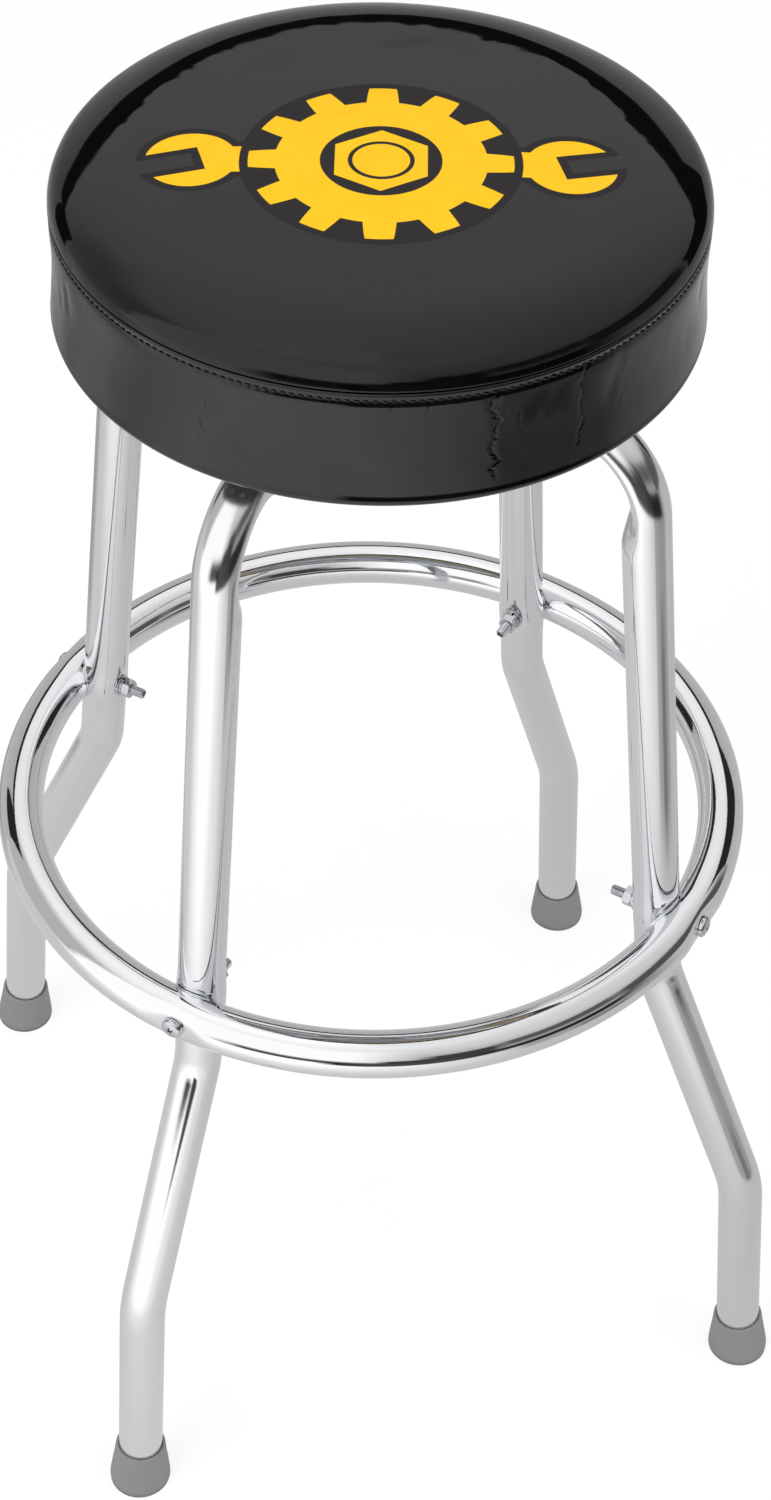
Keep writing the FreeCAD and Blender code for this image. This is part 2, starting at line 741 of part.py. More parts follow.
def seat_screws():
    """Screws up through the turning plate into the tee nuts."""
    screw = pan_screw("seat_screw", dim.seat_screw_length)
    head_down = FreeCAD.Rotation(Vector(1, 0, 0), 180)
    place(screw, x=dim.seat_screw_reach, z=board_underside - dim.plate_thickness, turn=head_down)
    return circle_of_copies("seat_screws", [screw], LEG_AZIMUTHS.values())


def leg_bolts():
    """Hexagon bolts up through the tops of the legs, with their washers and nuts."""
    tube_underside = dim.top_run_height - dim.tube_radius
    bolts = []
    washers = []
    nuts = []
    for name, reach in (("inner", dim.inner_bolt_reach), ("outer", dim.outer_bolt_reach)):
        bolt = new_body(f"{name}_bolt")
        head = sketch_in(bolt, f"{name}_bolt_head", "XY_Plane", -dim.hexagon_head)
        hexagon(head, dim.nut_flats)
        padded(bolt, head, dim.hexagon_head)
        shank = sketch_in(bolt, f"{name}_bolt_shank", "XY_Plane")
        circle(shank, 0, 0, dim.screw_radius)
        padded(bolt, shank, dim.leg_bolt_length)
        place(bolt, x=reach, z=tube_underside - dim.washer_thickness)
        bolts.append(bolt)
        flat = washer(f"{name}_bolt_washer", dim.washer_radius, dim.screw_radius, dim.washer_thickness)
        place(flat, x=reach, z=tube_underside - dim.washer_thickness)
        washers.append(flat)
        nut = hexagon_nut(f"{name}_bolt_nut")
        place(nut, x=reach, z=leg_top + dim.plate_thickness)
        nuts.append(nut)
    angles = LEG_AZIMUTHS.values()
    return [
        circle_of_copies("leg_bolts", bolts, angles),
        circle_of_copies("leg_bolt_washers", washers, angles),
        circle_of_copies("leg_bolt_nuts", nuts, angles),
    ]


def ring_fasteners():
    """The screws through the ring and the legs, with their washers and nuts, screwed up from inside."""
    screw = pan_screw("ring_screw", dim.screw_length)
    place(screw, x=head_bearing, z=dim.ring_height, turn=Z_TO_X)
    flat = washer("ring_washer", dim.washer_radius, dim.screw_radius, dim.washer_thickness)
    place(flat, x=washer_bearing, z=dim.ring_height, turn=Z_TO_MINUS_X)
    lock_bearing = washer_bearing - dim.washer_thickness
    whole_lock = washer("whole_lock_washer", dim.lock_radius, dim.screw_radius, dim.lock_thickness)
    slit = feature("Part::Box", "lock_slit",
                   Length=dim.lock_radius, Width=dim.lock_slit, Height=dim.lock_thickness)
    place(slit, y=-dim.lock_slit / 2)
    lock = cut("ring_lock_washer", whole_lock, slit)
    place(lock, x=lock_bearing, z=dim.ring_height, turn=Z_TO_MINUS_X)
    nut = hexagon_nut("ring_nut")
    place(nut, x=lock_bearing - dim.lock_thickness, z=dim.ring_height, turn=Z_TO_MINUS_X)
    angles = LEG_AZIMUTHS.values()
    return [
        circle_of_copies("ring_screws", [screw], angles),
        circle_of_copies("ring_washers", [flat], angles),
        circle_of_copies("ring_lock_washers", [lock], angles),
        circle_of_copies("ring_nuts", [nut], angles),
    ]


# Legs, foot ring and tips

def leg_path():
    """The axis of a leg, from under the swivel to its cut end above the floor."""
    path = doc.addObject("Sketcher::SketchObject", "leg_path")
    place(path, turn=SKETCH_UPRIGHT)
    outline(path, [
        (dim.top_run_start, dim.top_run_height),
        (dim.shoulder_reach, dim.top_run_height, dim.shoulder_bend),
        (dim.kick_reach, dim.kick_height, dim.kick_bend),
        (dim.ankle_reach, dim.ankle_height, dim.ankle_bend),
        (dim.foot_reach - lower_lean * dim.tube_end_height, dim.tube_end_height),
    ], closed=False)
    return path


def swept_rod(name, path, radius):
    """A round rod along the axis of a leg."""
    section = feature("Part::Circle", f"{name}_section", Radius=radius)
    place(section, x=dim.top_run_start, z=dim.top_run_height, turn=Z_TO_X)
    rod = doc.addObject("Part::Sweep", name)
    rod.Sections = [section]
    rod.Spine = (path, [])
    rod.Solid = True
    return rod


def washer_press(name, growth):
    """The tool that presses a flat for the washer into the inner side of a leg."""
    depth = 12.0
    flat_radius = dim.washer_radius + 1.0 - growth / 2
    cone = feature("Part::Cone", name, Radius1=flat_radius + depth * 1.2, Radius2=flat_radius, Height=depth)
    place(cone, x=washer_bearing - depth + growth, z=dim.ring_height, turn=Z_TO_X)
    return cone


def upright_hole(name, reach):
    """A hole for a leg bolt."""
    hole = feature("Part::Cylinder", name, Radius=dim.hole_radius, Height=dim.tube_radius * 4)
    place(hole, x=reach, z=dim.top_run_height - dim.tube_radius * 2)
    return hole


def radial_hole(name):
    """A hole for a ring screw, through a leg and the ring."""
    hole = feature("Part::Cylinder", name, Radius=dim.hole_radius, Height=dim.tube_radius * 8)
    place(hole, x=dim.ring_radius - dim.tube_radius * 5, z=dim.ring_height, turn=Z_TO_X)
    return hole


def ring_torus(name, radius):
    """A torus on the axis of the foot ring."""
    torus = feature("Part::Torus", name, Radius1=dim.ring_radius, Radius2=radius)
    place(torus, z=dim.ring_height)
    return torus


def legs():
    """Four tubes, each pressed in on the outside for the ring and on the inside for a washer."""
    path = leg_path()
    outside = swept_rod("leg_outside", path, dim.tube_radius)
    inside = swept_rod("leg_inside", path, dim.tube_radius - dim.tube_wall)
    presses = joined(
        "leg_presses",
        ring_torus("leg_saddle", dim.tube_radius),
        washer_press("leg_press", 0.0),
    )
    press_walls = joined(
        "leg_press_walls",
        ring_torus("leg_saddle_wall", dim.tube_radius + dim.tube_wall),
        washer_press("leg_press_wall", dim.tube_wall),
    )
    pressed_outside = cut("leg_pressed_outside", outside, presses)
    pressed_inside = cut("leg_pressed_inside", inside, press_walls)
    shell = cut("leg_shell", pressed_outside, pressed_inside)
    holes = joined(
        "leg_holes",
        radial_hole("leg_ring_hole"),
        upright_hole("leg_inner_hole", dim.inner_bolt_reach),
        upright_hole("leg_outer_hole", dim.outer_bolt_reach),
    )
    leg = cut("leg", shell, holes)
    return [turned_copy(f"leg_{side}", leg, angle) for side, angle in LEG_AZIMUTHS.items()]


def ring_press(name, radius):
    """The tool that flattens the ring at each screw head."""
    press = feature("Part::Cylinder", f"{name}_one", Radius=radius, Height=dim.tube_radius * 2)
    place(press, x=dent_bottom + dim.ring_dent_radius, z=dim.ring_height - dim.tube_radius)
    return circle_of_copies(name, [press], LEG_AZIMUTHS.values())


def foot_ring():
    """The foot ring: a hollow tube, flattened outside at each screw and drilled through."""
    outside = ring_torus("ring_outside", dim.tube_radius)
    inside = ring_torus("ring_inside", dim.tube_radius - dim.tube_wall)
    presses = ring_press("ring_presses", dim.ring_dent_radius)
    press_walls = ring_press("ring_press_walls", dim.ring_dent_radius + dim.tube_wall)
    pressed_outside = cut("ring_pressed_outside", outside, presses)
    pressed_inside = cut("ring_pressed_inside", inside, press_walls)
    shell = cut("ring_shell", pressed_outside, pressed_inside)
    holes = circle_of_copies("ring_holes", [radial_hole("ring_hole")], LEG_AZIMUTHS.values())
    return cut("foot_ring", shell, holes)


def tips():
    """Rubber tips that follow the lean of the legs and stand flat on the floor, with a steel disc in each."""
    lean = FreeCAD.Rotation(Vector(0, 1, 0), -math.degrees(math.atan(lower_lean.number)))
    tip = new_body("tip_uncut")
    sketch = sketch_in(tip, "tip_section", "XZ_Plane")
    below_floor = dim.tip_base_radius / 8
    outline(sketch, [
        (0, -below_floor),
        (dim.tip_base_radius, -below_floor),
        (dim.tip_base_radius, dim.tip_foot_height),
        (dim.tip_rim_radius, dim.tip_height, dim.tip_edge),
        (dim.tube_radius, dim.tip_height),
        (dim.tube_radius, dim.tip_sole),
        (0, dim.tip_sole),
    ])
    revolved(tip, sketch)
    place(tip, x=dim.foot_reach, turn=lean)
    block = dim.tip_base_radius * 4
    floor = feature("Part::Box", "floor_block", Length=block, Width=block, Height=block)
    place(floor, x=dim.foot_reach - block / 2, y=-block / 2, z=-block)
    flat_tip = cut("tip", tip, floor)
    disc = washer("tip_disc", dim.disc_radius, dim.disc_bore, dim.tube_end_height - dim.tip_sole)
    place(disc, x=dim.foot_reach - lower_lean * dim.tip_sole, z=dim.tip_sole, turn=lean)
    feet = [turned_copy(f"foot_tip_{side}", flat_tip, angle) for side, angle in LEG_AZIMUTHS.items()]
    return feet + [circle_of_copies("foot_tip_discs", [disc], LEG_AZIMUTHS.values())]


# Building and writing

def build():
    """Make every piece of the stool."""
    staples = staple_ring()
    nodes = [
        top_panel(),
        side_band(staples),
        stitching(),
        foam_pad(),
        board(staples),
        staples,
        tee_nuts(),
        seat_screws(),
        upper_plate(),
        lower_plate(),
        centre_rivet(),
        balls(),
        ball_cage(),
        foot_ring(),
    ]
    nodes += legs()
    nodes += leg_bolts()
    nodes += ring_fasteners()
    nodes += tips()
    return nodes


def check(nodes):
    """Stop where an object failed or a piece has no sound solid."""
    failed = [item.Label for item in doc.Objects if "Invalid" in item.State or "Error" in item.State]
    if failed:
        raise RuntimeError(f"failed objects: {failed}")
    for node in nodes:
        shape = node.Shape
        if shape.isNull() or not shape.isValid() or not shape.Solids:
            raise RuntimeError(f"{node.Label} has no sound solid")
        print(f"{node.Label}: {len(shape.Solids)} solids, {shape.Volume / 1000:.2f} cm3")


def write(nodes):
    """Write each piece to a file of its own."""
    os.makedirs("parts", exist_ok=True)
    for node in nodes:
        node.Shape.exportStep(f"parts/{node.Label}.step")


stool = build()
doc.recompute()
check(stool)
write(stool)
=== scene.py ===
import json
import logging
import math
import random
from collections.abc import Callable, Sequence
from dataclasses import dataclass, field
from enum import Enum

import bmesh
import bpy
from mathutils import Matrix, Vector

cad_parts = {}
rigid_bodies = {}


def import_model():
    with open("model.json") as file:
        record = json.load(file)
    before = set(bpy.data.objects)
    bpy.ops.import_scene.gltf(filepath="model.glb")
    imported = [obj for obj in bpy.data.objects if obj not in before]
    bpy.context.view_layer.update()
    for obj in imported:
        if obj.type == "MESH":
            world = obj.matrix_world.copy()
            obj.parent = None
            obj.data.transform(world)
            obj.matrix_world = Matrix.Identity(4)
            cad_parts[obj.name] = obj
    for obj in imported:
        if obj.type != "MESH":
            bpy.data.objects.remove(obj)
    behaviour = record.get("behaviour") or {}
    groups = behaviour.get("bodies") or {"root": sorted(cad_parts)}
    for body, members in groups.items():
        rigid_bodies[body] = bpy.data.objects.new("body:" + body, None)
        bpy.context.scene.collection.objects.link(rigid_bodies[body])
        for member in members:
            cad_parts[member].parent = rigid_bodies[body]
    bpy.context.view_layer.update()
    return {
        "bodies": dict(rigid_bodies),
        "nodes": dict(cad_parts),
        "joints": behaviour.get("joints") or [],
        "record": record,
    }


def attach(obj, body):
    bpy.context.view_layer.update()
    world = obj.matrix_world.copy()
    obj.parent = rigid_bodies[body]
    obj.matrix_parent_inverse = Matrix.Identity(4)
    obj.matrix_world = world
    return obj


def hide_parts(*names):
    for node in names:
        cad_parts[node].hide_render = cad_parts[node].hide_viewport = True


# Garage stool: a round vinyl seat that swivels on four bent chromed legs, which a foot ring ties together.
# Metres. +Z is up, the origin is on the floor under the centre of the seat, and the front is -Y.

LOG = logging.getLogger("garage_stool")
MM = 0.001
WHOLE_TURN = 2 * math.pi
# Where the camera stands, in degrees about +Z from the front
CAMERA_AZIMUTH = -15.86

Test = Callable[[Vector, Vector], bool]
Move = Callable[[Vector], Vector]
Share = Callable[[Vector], float]
Point = tuple[float, float]
Outline = Sequence[Point]


class Body(Enum):
    """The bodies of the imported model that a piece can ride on."""

    BASE = "base"
    SEAT = "seat"
    CAGE = "ball_cage"


class Leg(Enum):
    """The four legs, each with its azimuth about +Z in degrees."""

    FRONT_LEFT = 225.0
    FRONT_RIGHT = 315.0
    REAR_RIGHT = 45.0
    REAR_LEFT = 135.0

    @property
    def label(self) -> str:
        """The leg's name as the nodes spell it."""
        return self.name.lower()

    @property
    def azimuth(self) -> float:
        """The leg's azimuth in radians."""
        return math.radians(self.value)


class Pick(Enum):
    """What a selection in edit mode is made of."""

    POINTS = "VERT"
    EDGES = "EDGE"
    FACES = "FACE"


# Small sums

def smooth_step(value: float, low: float, high: float) -> float:
    """Rise smoothly from 0 at low to 1 at high."""
    share = min(1.0, max(0.0, (value - low) / (high - low)))
    return share * share * (3.0 - 2.0 * share)


def soft_min(first: float, second: float, softness: float) -> float:
    """The smaller of two numbers, rounded where they are near each other, as sheet is at a press mark."""
    near = max(softness - abs(first - second), 0.0) / softness
    return min(first, second) - near * near * softness / 4.0


def arc(centre: Point, radius: float, start: float, end: float, steps: int) -> list[Point]:
    """Points along an arc in the turning plane.

    Args:
        centre: the arc's centre as (reach, height).
        radius: its radius.
        start: the angle of its first point above the horizontal, in degrees.
        end: the angle of its last point.
        steps: how many chords it has.

    Returns:
        The points, from first to last.
    """
    angles = [math.radians(start + (end - start) * step / steps) for step in range(steps + 1)]
    return [(centre[0] + radius * math.cos(angle), centre[1] + radius * math.sin(angle)) for angle in angles]


def linear(hexadecimal: str) -> tuple[float, float, float, float]:
    """An sRGB hex colour as the linear colour that a shader takes.

    Args:
        hexadecimal: the colour, such as #C3C7CC.

    Returns:
        Red, green, blue and an alpha of 1.
    """
    shares = [int(hexadecimal[at:at + 2], 16) / 255.0 for at in (1, 3, 5)]
    red, green, blue = (s / 12.92 if s <= 0.04045 else ((s + 0.055) / 1.055) ** 2.4 for s in shares)
    return red, green, blue, 1.0


def cycles_per(millimetres: float) -> float:
    """The scale of a pattern that repeats once in so many millimetres."""
    return 1.0 / (millimetres * MM)


# Modelling

def deselect() -> None:
    """Leave edit mode and leave nothing selected."""
    if bpy.context.object is not None and bpy.context.object.mode != "OBJECT":
        bpy.ops.object.mode_set(mode="OBJECT")
    bpy.ops.object.select_all(action="DESELECT")


def focus(piece: bpy.types.Object) -> None:
    """Make one piece the only selected and active one.

    Args:
        piece: the piece.
    """
    deselect()
    piece.select_set(True)
    bpy.context.view_layer.objects.active = piece


def settled(name: str) -> bpy.types.Object:
    """Name the active piece and put its place, turn and size into its mesh.

    Args:
        name: the piece's new name.

    Returns:
        The piece.
    """
    piece = bpy.context.object
    piece.name = name
    piece.data.name = name
    bpy.ops.object.transform_apply(location=True, rotation=True, scale=True)
    return piece


class Bench:
    """Edit mode on one piece, with what the operators act on picked in code."""

    def __init__(self, piece: bpy.types.Object, kind: Pick = Pick.POINTS) -> None:
        """Take a piece and the kind of element that is picked on it."""
        self.piece = piece
        self.kind = kind

    def __enter__(self) -> "Bench":
        """Open edit mode.

        Returns:
            The bench.
        """
        focus(self.piece)
        bpy.ops.object.mode_set(mode="EDIT")
        bpy.ops.mesh.select_mode(type=self.kind.value)
        return self

    def __exit__(self, *_: object) -> None:
        """Close edit mode."""
        bpy.ops.object.mode_set(mode="OBJECT")

    def pick(self, test: Test) -> int:
        """Select what passes a test.

        Args:
            test: takes the middle and the normal of an element.

        Returns:
            How many elements were selected.
        """
        mesh = bmesh.from_edit_mesh(self.piece.data)
        for element in (*mesh.verts, *mesh.edges, *mesh.faces):
            element.select = False
        elements = {Pick.POINTS: mesh.verts, Pick.EDGES: mesh.edges, Pick.FACES: mesh.faces}[self.kind]
        count = 0
        for element in elements:
            if self.kind is Pick.POINTS:
                middle, normal = element.co, element.normal
            elif self.kind is Pick.EDGES:
                middle, normal = (element.verts[0].co + element.verts[1].co) / 2, Vector()
            else:
                middle, normal = element.calc_center_median(), element.normal
            if test(middle, normal):
                element.select_set(True)
                count += 1
        mesh.select_flush_mode()
        bmesh.update_edit_mesh(self.piece.data)
        return count

    def pick_all(self) -> None:
        """Select everything."""
        bpy.ops.mesh.select_all(action="SELECT")

    def merge(self) -> None:
        """Merge doubles all over and turn every face outwards."""
        self.pick_all()
        bpy.ops.mesh.remove_doubles(threshold=0.002 * MM)
        bpy.ops.mesh.normals_make_consistent(inside=False)

    def push(self, way: Vector, reach: float, falloff: str = "SMOOTH") -> None:
        """Move what is selected, and softly what is near it.

        Args:
            way: how far the selection moves.
            reach: how far from it points still follow.
            falloff: how they follow less, the further they are.
        """
        bpy.ops.transform.translate(
            value=way,
            use_proportional_edit=True,
            proportional_edit_falloff=falloff,
            proportional_size=reach,
        )


def modify(piece: bpy.types.Object, kind: str, **settings: object) -> None:
    """Finish a piece with a modifier and apply it.

    Args:
        piece: the piece.
        kind: the modifier's type.
        settings: the modifier's settings.
    """
    focus(piece)
    modifier = piece.modifiers.new(kind.lower(), kind)
    for name, value in settings.items():
        setattr(modifier, name, value)
    bpy.ops.object.modifier_apply(modifier=modifier.name)


def smooth(piece: bpy.types.Object, degrees: float = 35.0) -> None:
    """Shade a piece smooth, but for edges sharper than so many degrees."""
    focus(piece)
    bpy.ops.object.shade_smooth_by_angle(angle=math.radians(degrees))


def reshape(piece: bpy.types.Object, move: Move) -> None:
    """Move every point of a piece, where no operator gives the shape.

    Args:
        piece: the piece.
        move: takes a point and gives its new place.
    """
    for point in piece.data.vertices:
        point.co = move(point.co)
    piece.data.update()


def roughen(
    piece: bpy.types.Object, size: float, height: float, share: Share | None = None, middle: float = 0.5
) -> None:
    """Raise and lower a surface in cloudy patches.

    Args:
        piece: the piece.
        size: how wide the patches are.
        height: how far apart its highest and its lowest places can lie.
        share: takes a point and gives its share of the height. Without it every point gets all of it.
        middle: the value of the patches at which the surface stays where it is.
    """
    patches = bpy.data.textures.new("patches", "CLOUDS")
    patches.noise_scale = size
    settings = {"texture": patches, "texture_coords": "LOCAL", "strength": height, "mid_level": middle}
    if share is not None:
        group = piece.vertex_groups.new(name="share")
        for point in piece.data.vertices:
            group.add([point.index], share(point.co), "REPLACE")
        settings["vertex_group"] = group.name
    modify(piece, "DISPLACE", **settings)
    piece.vertex_groups.clear()


def copied(piece: bpy.types.Object, name: str, turn: float = 0.0) -> bpy.types.Object:
    """A copy of a piece with its own mesh, turned about +Z by an angle in radians.

    Args:
        piece: the piece.
        name: the copy's name.
        turn: the angle.

    Returns:
        The copy.
    """
    focus(piece)
    bpy.ops.object.duplicate()
    bpy.context.object.rotation_euler = (0.0, 0.0, turn)
    return settled(name)


def joined(name: str, pieces: Sequence[bpy.types.Object]) -> bpy.types.Object:
    """Join pieces into one.

    Args:
        name: the name of the whole.
        pieces: its parts.

    Returns:
        The whole.
    """
    focus(pieces[0])
    for piece in pieces:
        piece.select_set(True)
    bpy.ops.object.join()
    return settled(name)


def four_of(piece: bpy.types.Object, name: str) -> bpy.types.Object:
    """Join four copies of a piece, one for each leg, and remove the first.

    Args:
        piece: the piece, on the plane of a leg at azimuth 0.
        name: the name of the four.

    Returns:
        The four as one piece.
    """
    copies = [copied(piece, f"{name}_{leg.label}", leg.azimuth) for leg in Leg]
    bpy.data.objects.remove(piece)
    return joined(name, copies)


def lathe(name: str, outline: Outline, steps: int) -> bpy.types.Object:
    """Draw an outline by extruding a point and spin it about +Z.

    Args:
        name: the piece's name.
        outline: (radius, height) of each corner in metres. The last may repeat the first, for a ring.
        steps: how many faces there are round the turn.

    Returns:
        The turned piece, merged and facing outwards.
    """
    deselect()
    bpy.ops.mesh.primitive_plane_add(size=MM)
    piece = settled(name)
    with Bench(piece) as bench:
        bpy.ops.mesh.merge(type="CENTER")
        bpy.ops.transform.translate(value=(outline[0][0], 0.0, outline[0][1]))
        for (from_reach, from_height), (reach, height) in zip(outline, outline[1:]):
            bpy.ops.mesh.extrude_region_move(
                TRANSFORM_OT_translate={"value": (reach - from_reach, 0.0, height - from_height)}
            )
        bench.pick_all()
        bpy.ops.mesh.spin(steps=steps, angle=WHOLE_TURN, center=(0.0, 0.0, 0.0), axis=(0.0, 0.0, 1.0))
        bench.merge()
    return piece


def laid_along_x(piece: bpy.types.Object, reach: float, height: float, outwards: bool) -> bpy.types.Object:
    """Turn a piece from +Z to +X or -X and move it to its place on the leg's plane.

    Args:
        piece: the piece, which stands on the origin.
        reach: its new distance from the axis.
        height: its new height.
        outwards: whether its top points outwards.

    Returns:
        The piece.
    """
    focus(piece)
    piece.rotation_euler = (0.0, math.pi / 2 if outwards else -math.pi / 2, 0.0)
    piece.location = (reach, 0.0, height)
    return settled(piece.name)


def boolean(piece: bpy.types.Object, tool: bpy.types.Object, operation: str) -> None:
    """Cut a piece with a tool, or keep what they share, and remove the tool."""
    modify(piece, "BOOLEAN", object=tool, operation=operation, solver="EXACT")
    bpy.data.objects.remove(tool)


# Shaders

class Shader:
    """The node tree of one material or of the world."""

    def __init__(self, tree: bpy.types.NodeTree) -> None:
        """Start from an empty tree."""
        self.tree = tree
        tree.nodes.clear()

    def add(
        self, kind: str, links: dict[str | int, object], out: str | int = 0, **settings: object
    ) -> "Signal":
        """Add a node with its settings and links.

        Args:
            kind: the node's type.
            links: a signal, number or colour for each input that is set.
            out: the output that the signal reads.
            settings: the node's own settings.

        Returns:
            The signal at that output.
        """
        node = self.tree.nodes.new(kind)
        for name, value in settings.items():
            setattr(node, name, value)
        for name, value in links.items():
            if isinstance(value, Signal):
                self.tree.links.new(value.socket, node.inputs[name])
            else:
                node.inputs[name].default_value = value
        return Signal(self, node.outputs[out] if len(node.outputs) else None)

    def place(self) -> "Signal":
        """Where a point lies on its object."""
        return self.add("ShaderNodeTexCoord", {}, out="Object")

    def parts(self, vector: "Signal") -> tuple["Signal", "Signal", "Signal"]:
        """The X, Y and Z parts of a vector."""
        across = self.add("ShaderNodeSeparateXYZ", {"Vector": vector}, out="X")
        return across, across.beside("Y"), across.beside("Z")

    def from_camera(self, vector: "Signal") -> tuple["Signal", "Signal", "Signal"]:
        """The parts of a place or a direction across to the camera's right, back from the camera and up."""
        turn = (0.0, 0.0, math.radians(-CAMERA_AZIMUTH))
        return self.parts(self.add("ShaderNodeMapping", {"Vector": vector, "Rotation": turn}))

    def noise(
        self, place: "Signal", size: float, detail: float = 2.0, roughness: float = 0.5, swirl: float = 0.0
    ) -> "Signal":
        """Cloudy noise between 0 and 1.

        Args:
            place: where it is read.
            size: how wide its patches are, in millimetres.
            detail: how many octaves of finer noise it has.
            roughness: how strong the finer noise is.
            swirl: how far it is distorted.

        Returns:
            The noise.
        """
        return self.add("ShaderNodeTexNoise", {
            "Vector": place, "Scale": cycles_per(size), "Detail": detail, "Roughness": roughness,
            "Distortion": swirl,
        })

    def mix(self, share: "Signal", first: "Signal | str", second: "Signal | str") -> "Signal":
        """A colour between two, each of them a signal or an sRGB hex colour.

        Args:
            share: how much of the second there is.
            first: the colour at 0.
            second: the colour at 1.

        Returns:
            The mixed colour.
        """
        first, second = (end if isinstance(end, Signal) else linear(end) for end in (first, second))
        return self.add(
            "ShaderNodeMix", {"Factor": share, "A": first, "B": second}, out="Result", data_type="RGBA"
        )

    def bump(self, height: "Signal", strength: float, most: float, under: "Signal | None" = None) -> "Signal":
        """The normal of a relief so many millimetres high at most, over another relief if there is one.

        Args:
            height: the relief, from 0 to 1.
            strength: how much of it counts.
            most: its full height.
            under: the relief that it lies on.

        Returns:
            The normal.
        """
        links = {"Height": height, "Strength": strength, "Distance": most * MM}
        if under is not None:
            links["Normal"] = under
        return self.add("ShaderNodeBump", links)


@dataclass(frozen=True)
class Signal:
    """A value in a shader, which adds and multiplies as a number does."""

    shader: Shader
    socket: bpy.types.NodeSocket | None

    def beside(self, out: str) -> "Signal":
        """Another output of the same node."""
        return Signal(self.shader, self.socket.node.outputs[out])

    def do(self, operation: str, *others: object, clamp: bool = False) -> "Signal":
        """The result of a sum on this value and others."""
        links = dict(enumerate((self, *others)))
        return self.shader.add("ShaderNodeMath", links, operation=operation, use_clamp=clamp)

    def __add__(self, other: object) -> "Signal":
        """Sum."""
        return self.do("ADD", other)

    def __sub__(self, other: object) -> "Signal":
        """Difference."""
        return self.do("SUBTRACT", other)

    def __mul__(self, other: object) -> "Signal":
        """Product."""
        return self.do("MULTIPLY", other)

    def size(self) -> "Signal":
        """Absolute value."""
        return self.do("ABSOLUTE")

    def inverse(self) -> "Signal":
        """One less this value."""
        return self.do("MULTIPLY_ADD", -1.0, 1.0)

    def below(self, limit: float, softness: float) -> "Signal":
        """1 well below a limit and 0 well above it."""
        return self.do("MULTIPLY_ADD", -1.0 / softness, limit / softness + 0.5, clamp=True)

    def above(self, limit: float, softness: float) -> "Signal":
        """1 well above a limit and 0 well below it."""
        return self.do("MULTIPLY_ADD", 1.0 / softness, 0.5 - limit / softness, clamp=True)

    def between(self, low: float, high: float) -> "Signal":
        """This value from 0 to 1, spread between two numbers."""
        return self.do("MULTIPLY_ADD", high - low, low)

    def distance(self, other: "Signal") -> "Signal":
        """The length of a line that goes this far one way and the other value the other way."""
        return (self * self + other * other).do("SQRT")

    def round_camera(self, back: "Signal") -> "Signal":
        """Degrees round from the camera, less than zero on its left, where this value is the way across."""
        return self.do("ARCTAN2", back * -1.0) * math.degrees(1.0)


@dataclass(frozen=True)
class Finish:
    """A surface as it was made, which can be turned into a material."""

    title: str

    def material(self) -> bpy.types.Material:
        """Make the material.

        Returns:
            The material.
        """
        material = bpy.data.materials.new(self.title)
        material.use_nodes = True
        shader = Shader(material.node_tree)
        surface = self.paint(shader)
        shader.add("ShaderNodeOutputMaterial", {"Surface": surface})
        return material

    def paint(self, shader: Shader) -> Signal:
        """Add the nodes of the surface and return what it ends in."""
        raise NotImplementedError


@dataclass(frozen=True)
class Vinyl(Finish):
    """PVC-coated knit, calendered smooth and lacquered: black, with a wet shine that mirrors the room.

    The coating follows the knit and the foam in slow ripples, and carries a fine skin grain and dull smears.
    """

    title: str = "pvc_coated_knit_lacquered"
    black: str = "#050505"
    index: float = 1.53
    ripple_size: float = 26.0
    ripple_height: float = 0.10
    grain_size: float = 0.8
    grain_height: float = 0.008
    smear_size: float = 38.0
    shiniest: float = 0.015
    dullest: float = 0.075

    def finished(self, shader: Shader, place: Signal, lustre: Signal, normal: Signal) -> dict[str, Signal]:
        """What this piece's vinyl has beyond the plain sheet, by input of the surface."""
        return {}

    def paint(self, shader: Shader) -> Signal:
        """Black coating, ripples, grain and smears.

        Args:
            shader: the material's node tree.

        Returns:
            The surface.
        """
        place = shader.place()
        ripples = shader.noise(place, self.ripple_size, 1.0, 0.4)
        grain = shader.noise(place, self.grain_size, 2.0, 0.6)
        smears = shader.noise(place, self.smear_size, 5.0, 0.62, 1.2)
        grained = shader.bump(grain, 0.30, self.grain_height, shader.bump(ripples, 0.5, self.ripple_height))
        lustre = smears.between(self.shiniest, self.dullest)
        return shader.add("ShaderNodeBsdfPrincipled", {
            "Base Color": linear(self.black), "Roughness": lustre, "IOR": self.index, "Normal": grained,
            **self.finished(shader, place, lustre, grained),
        })


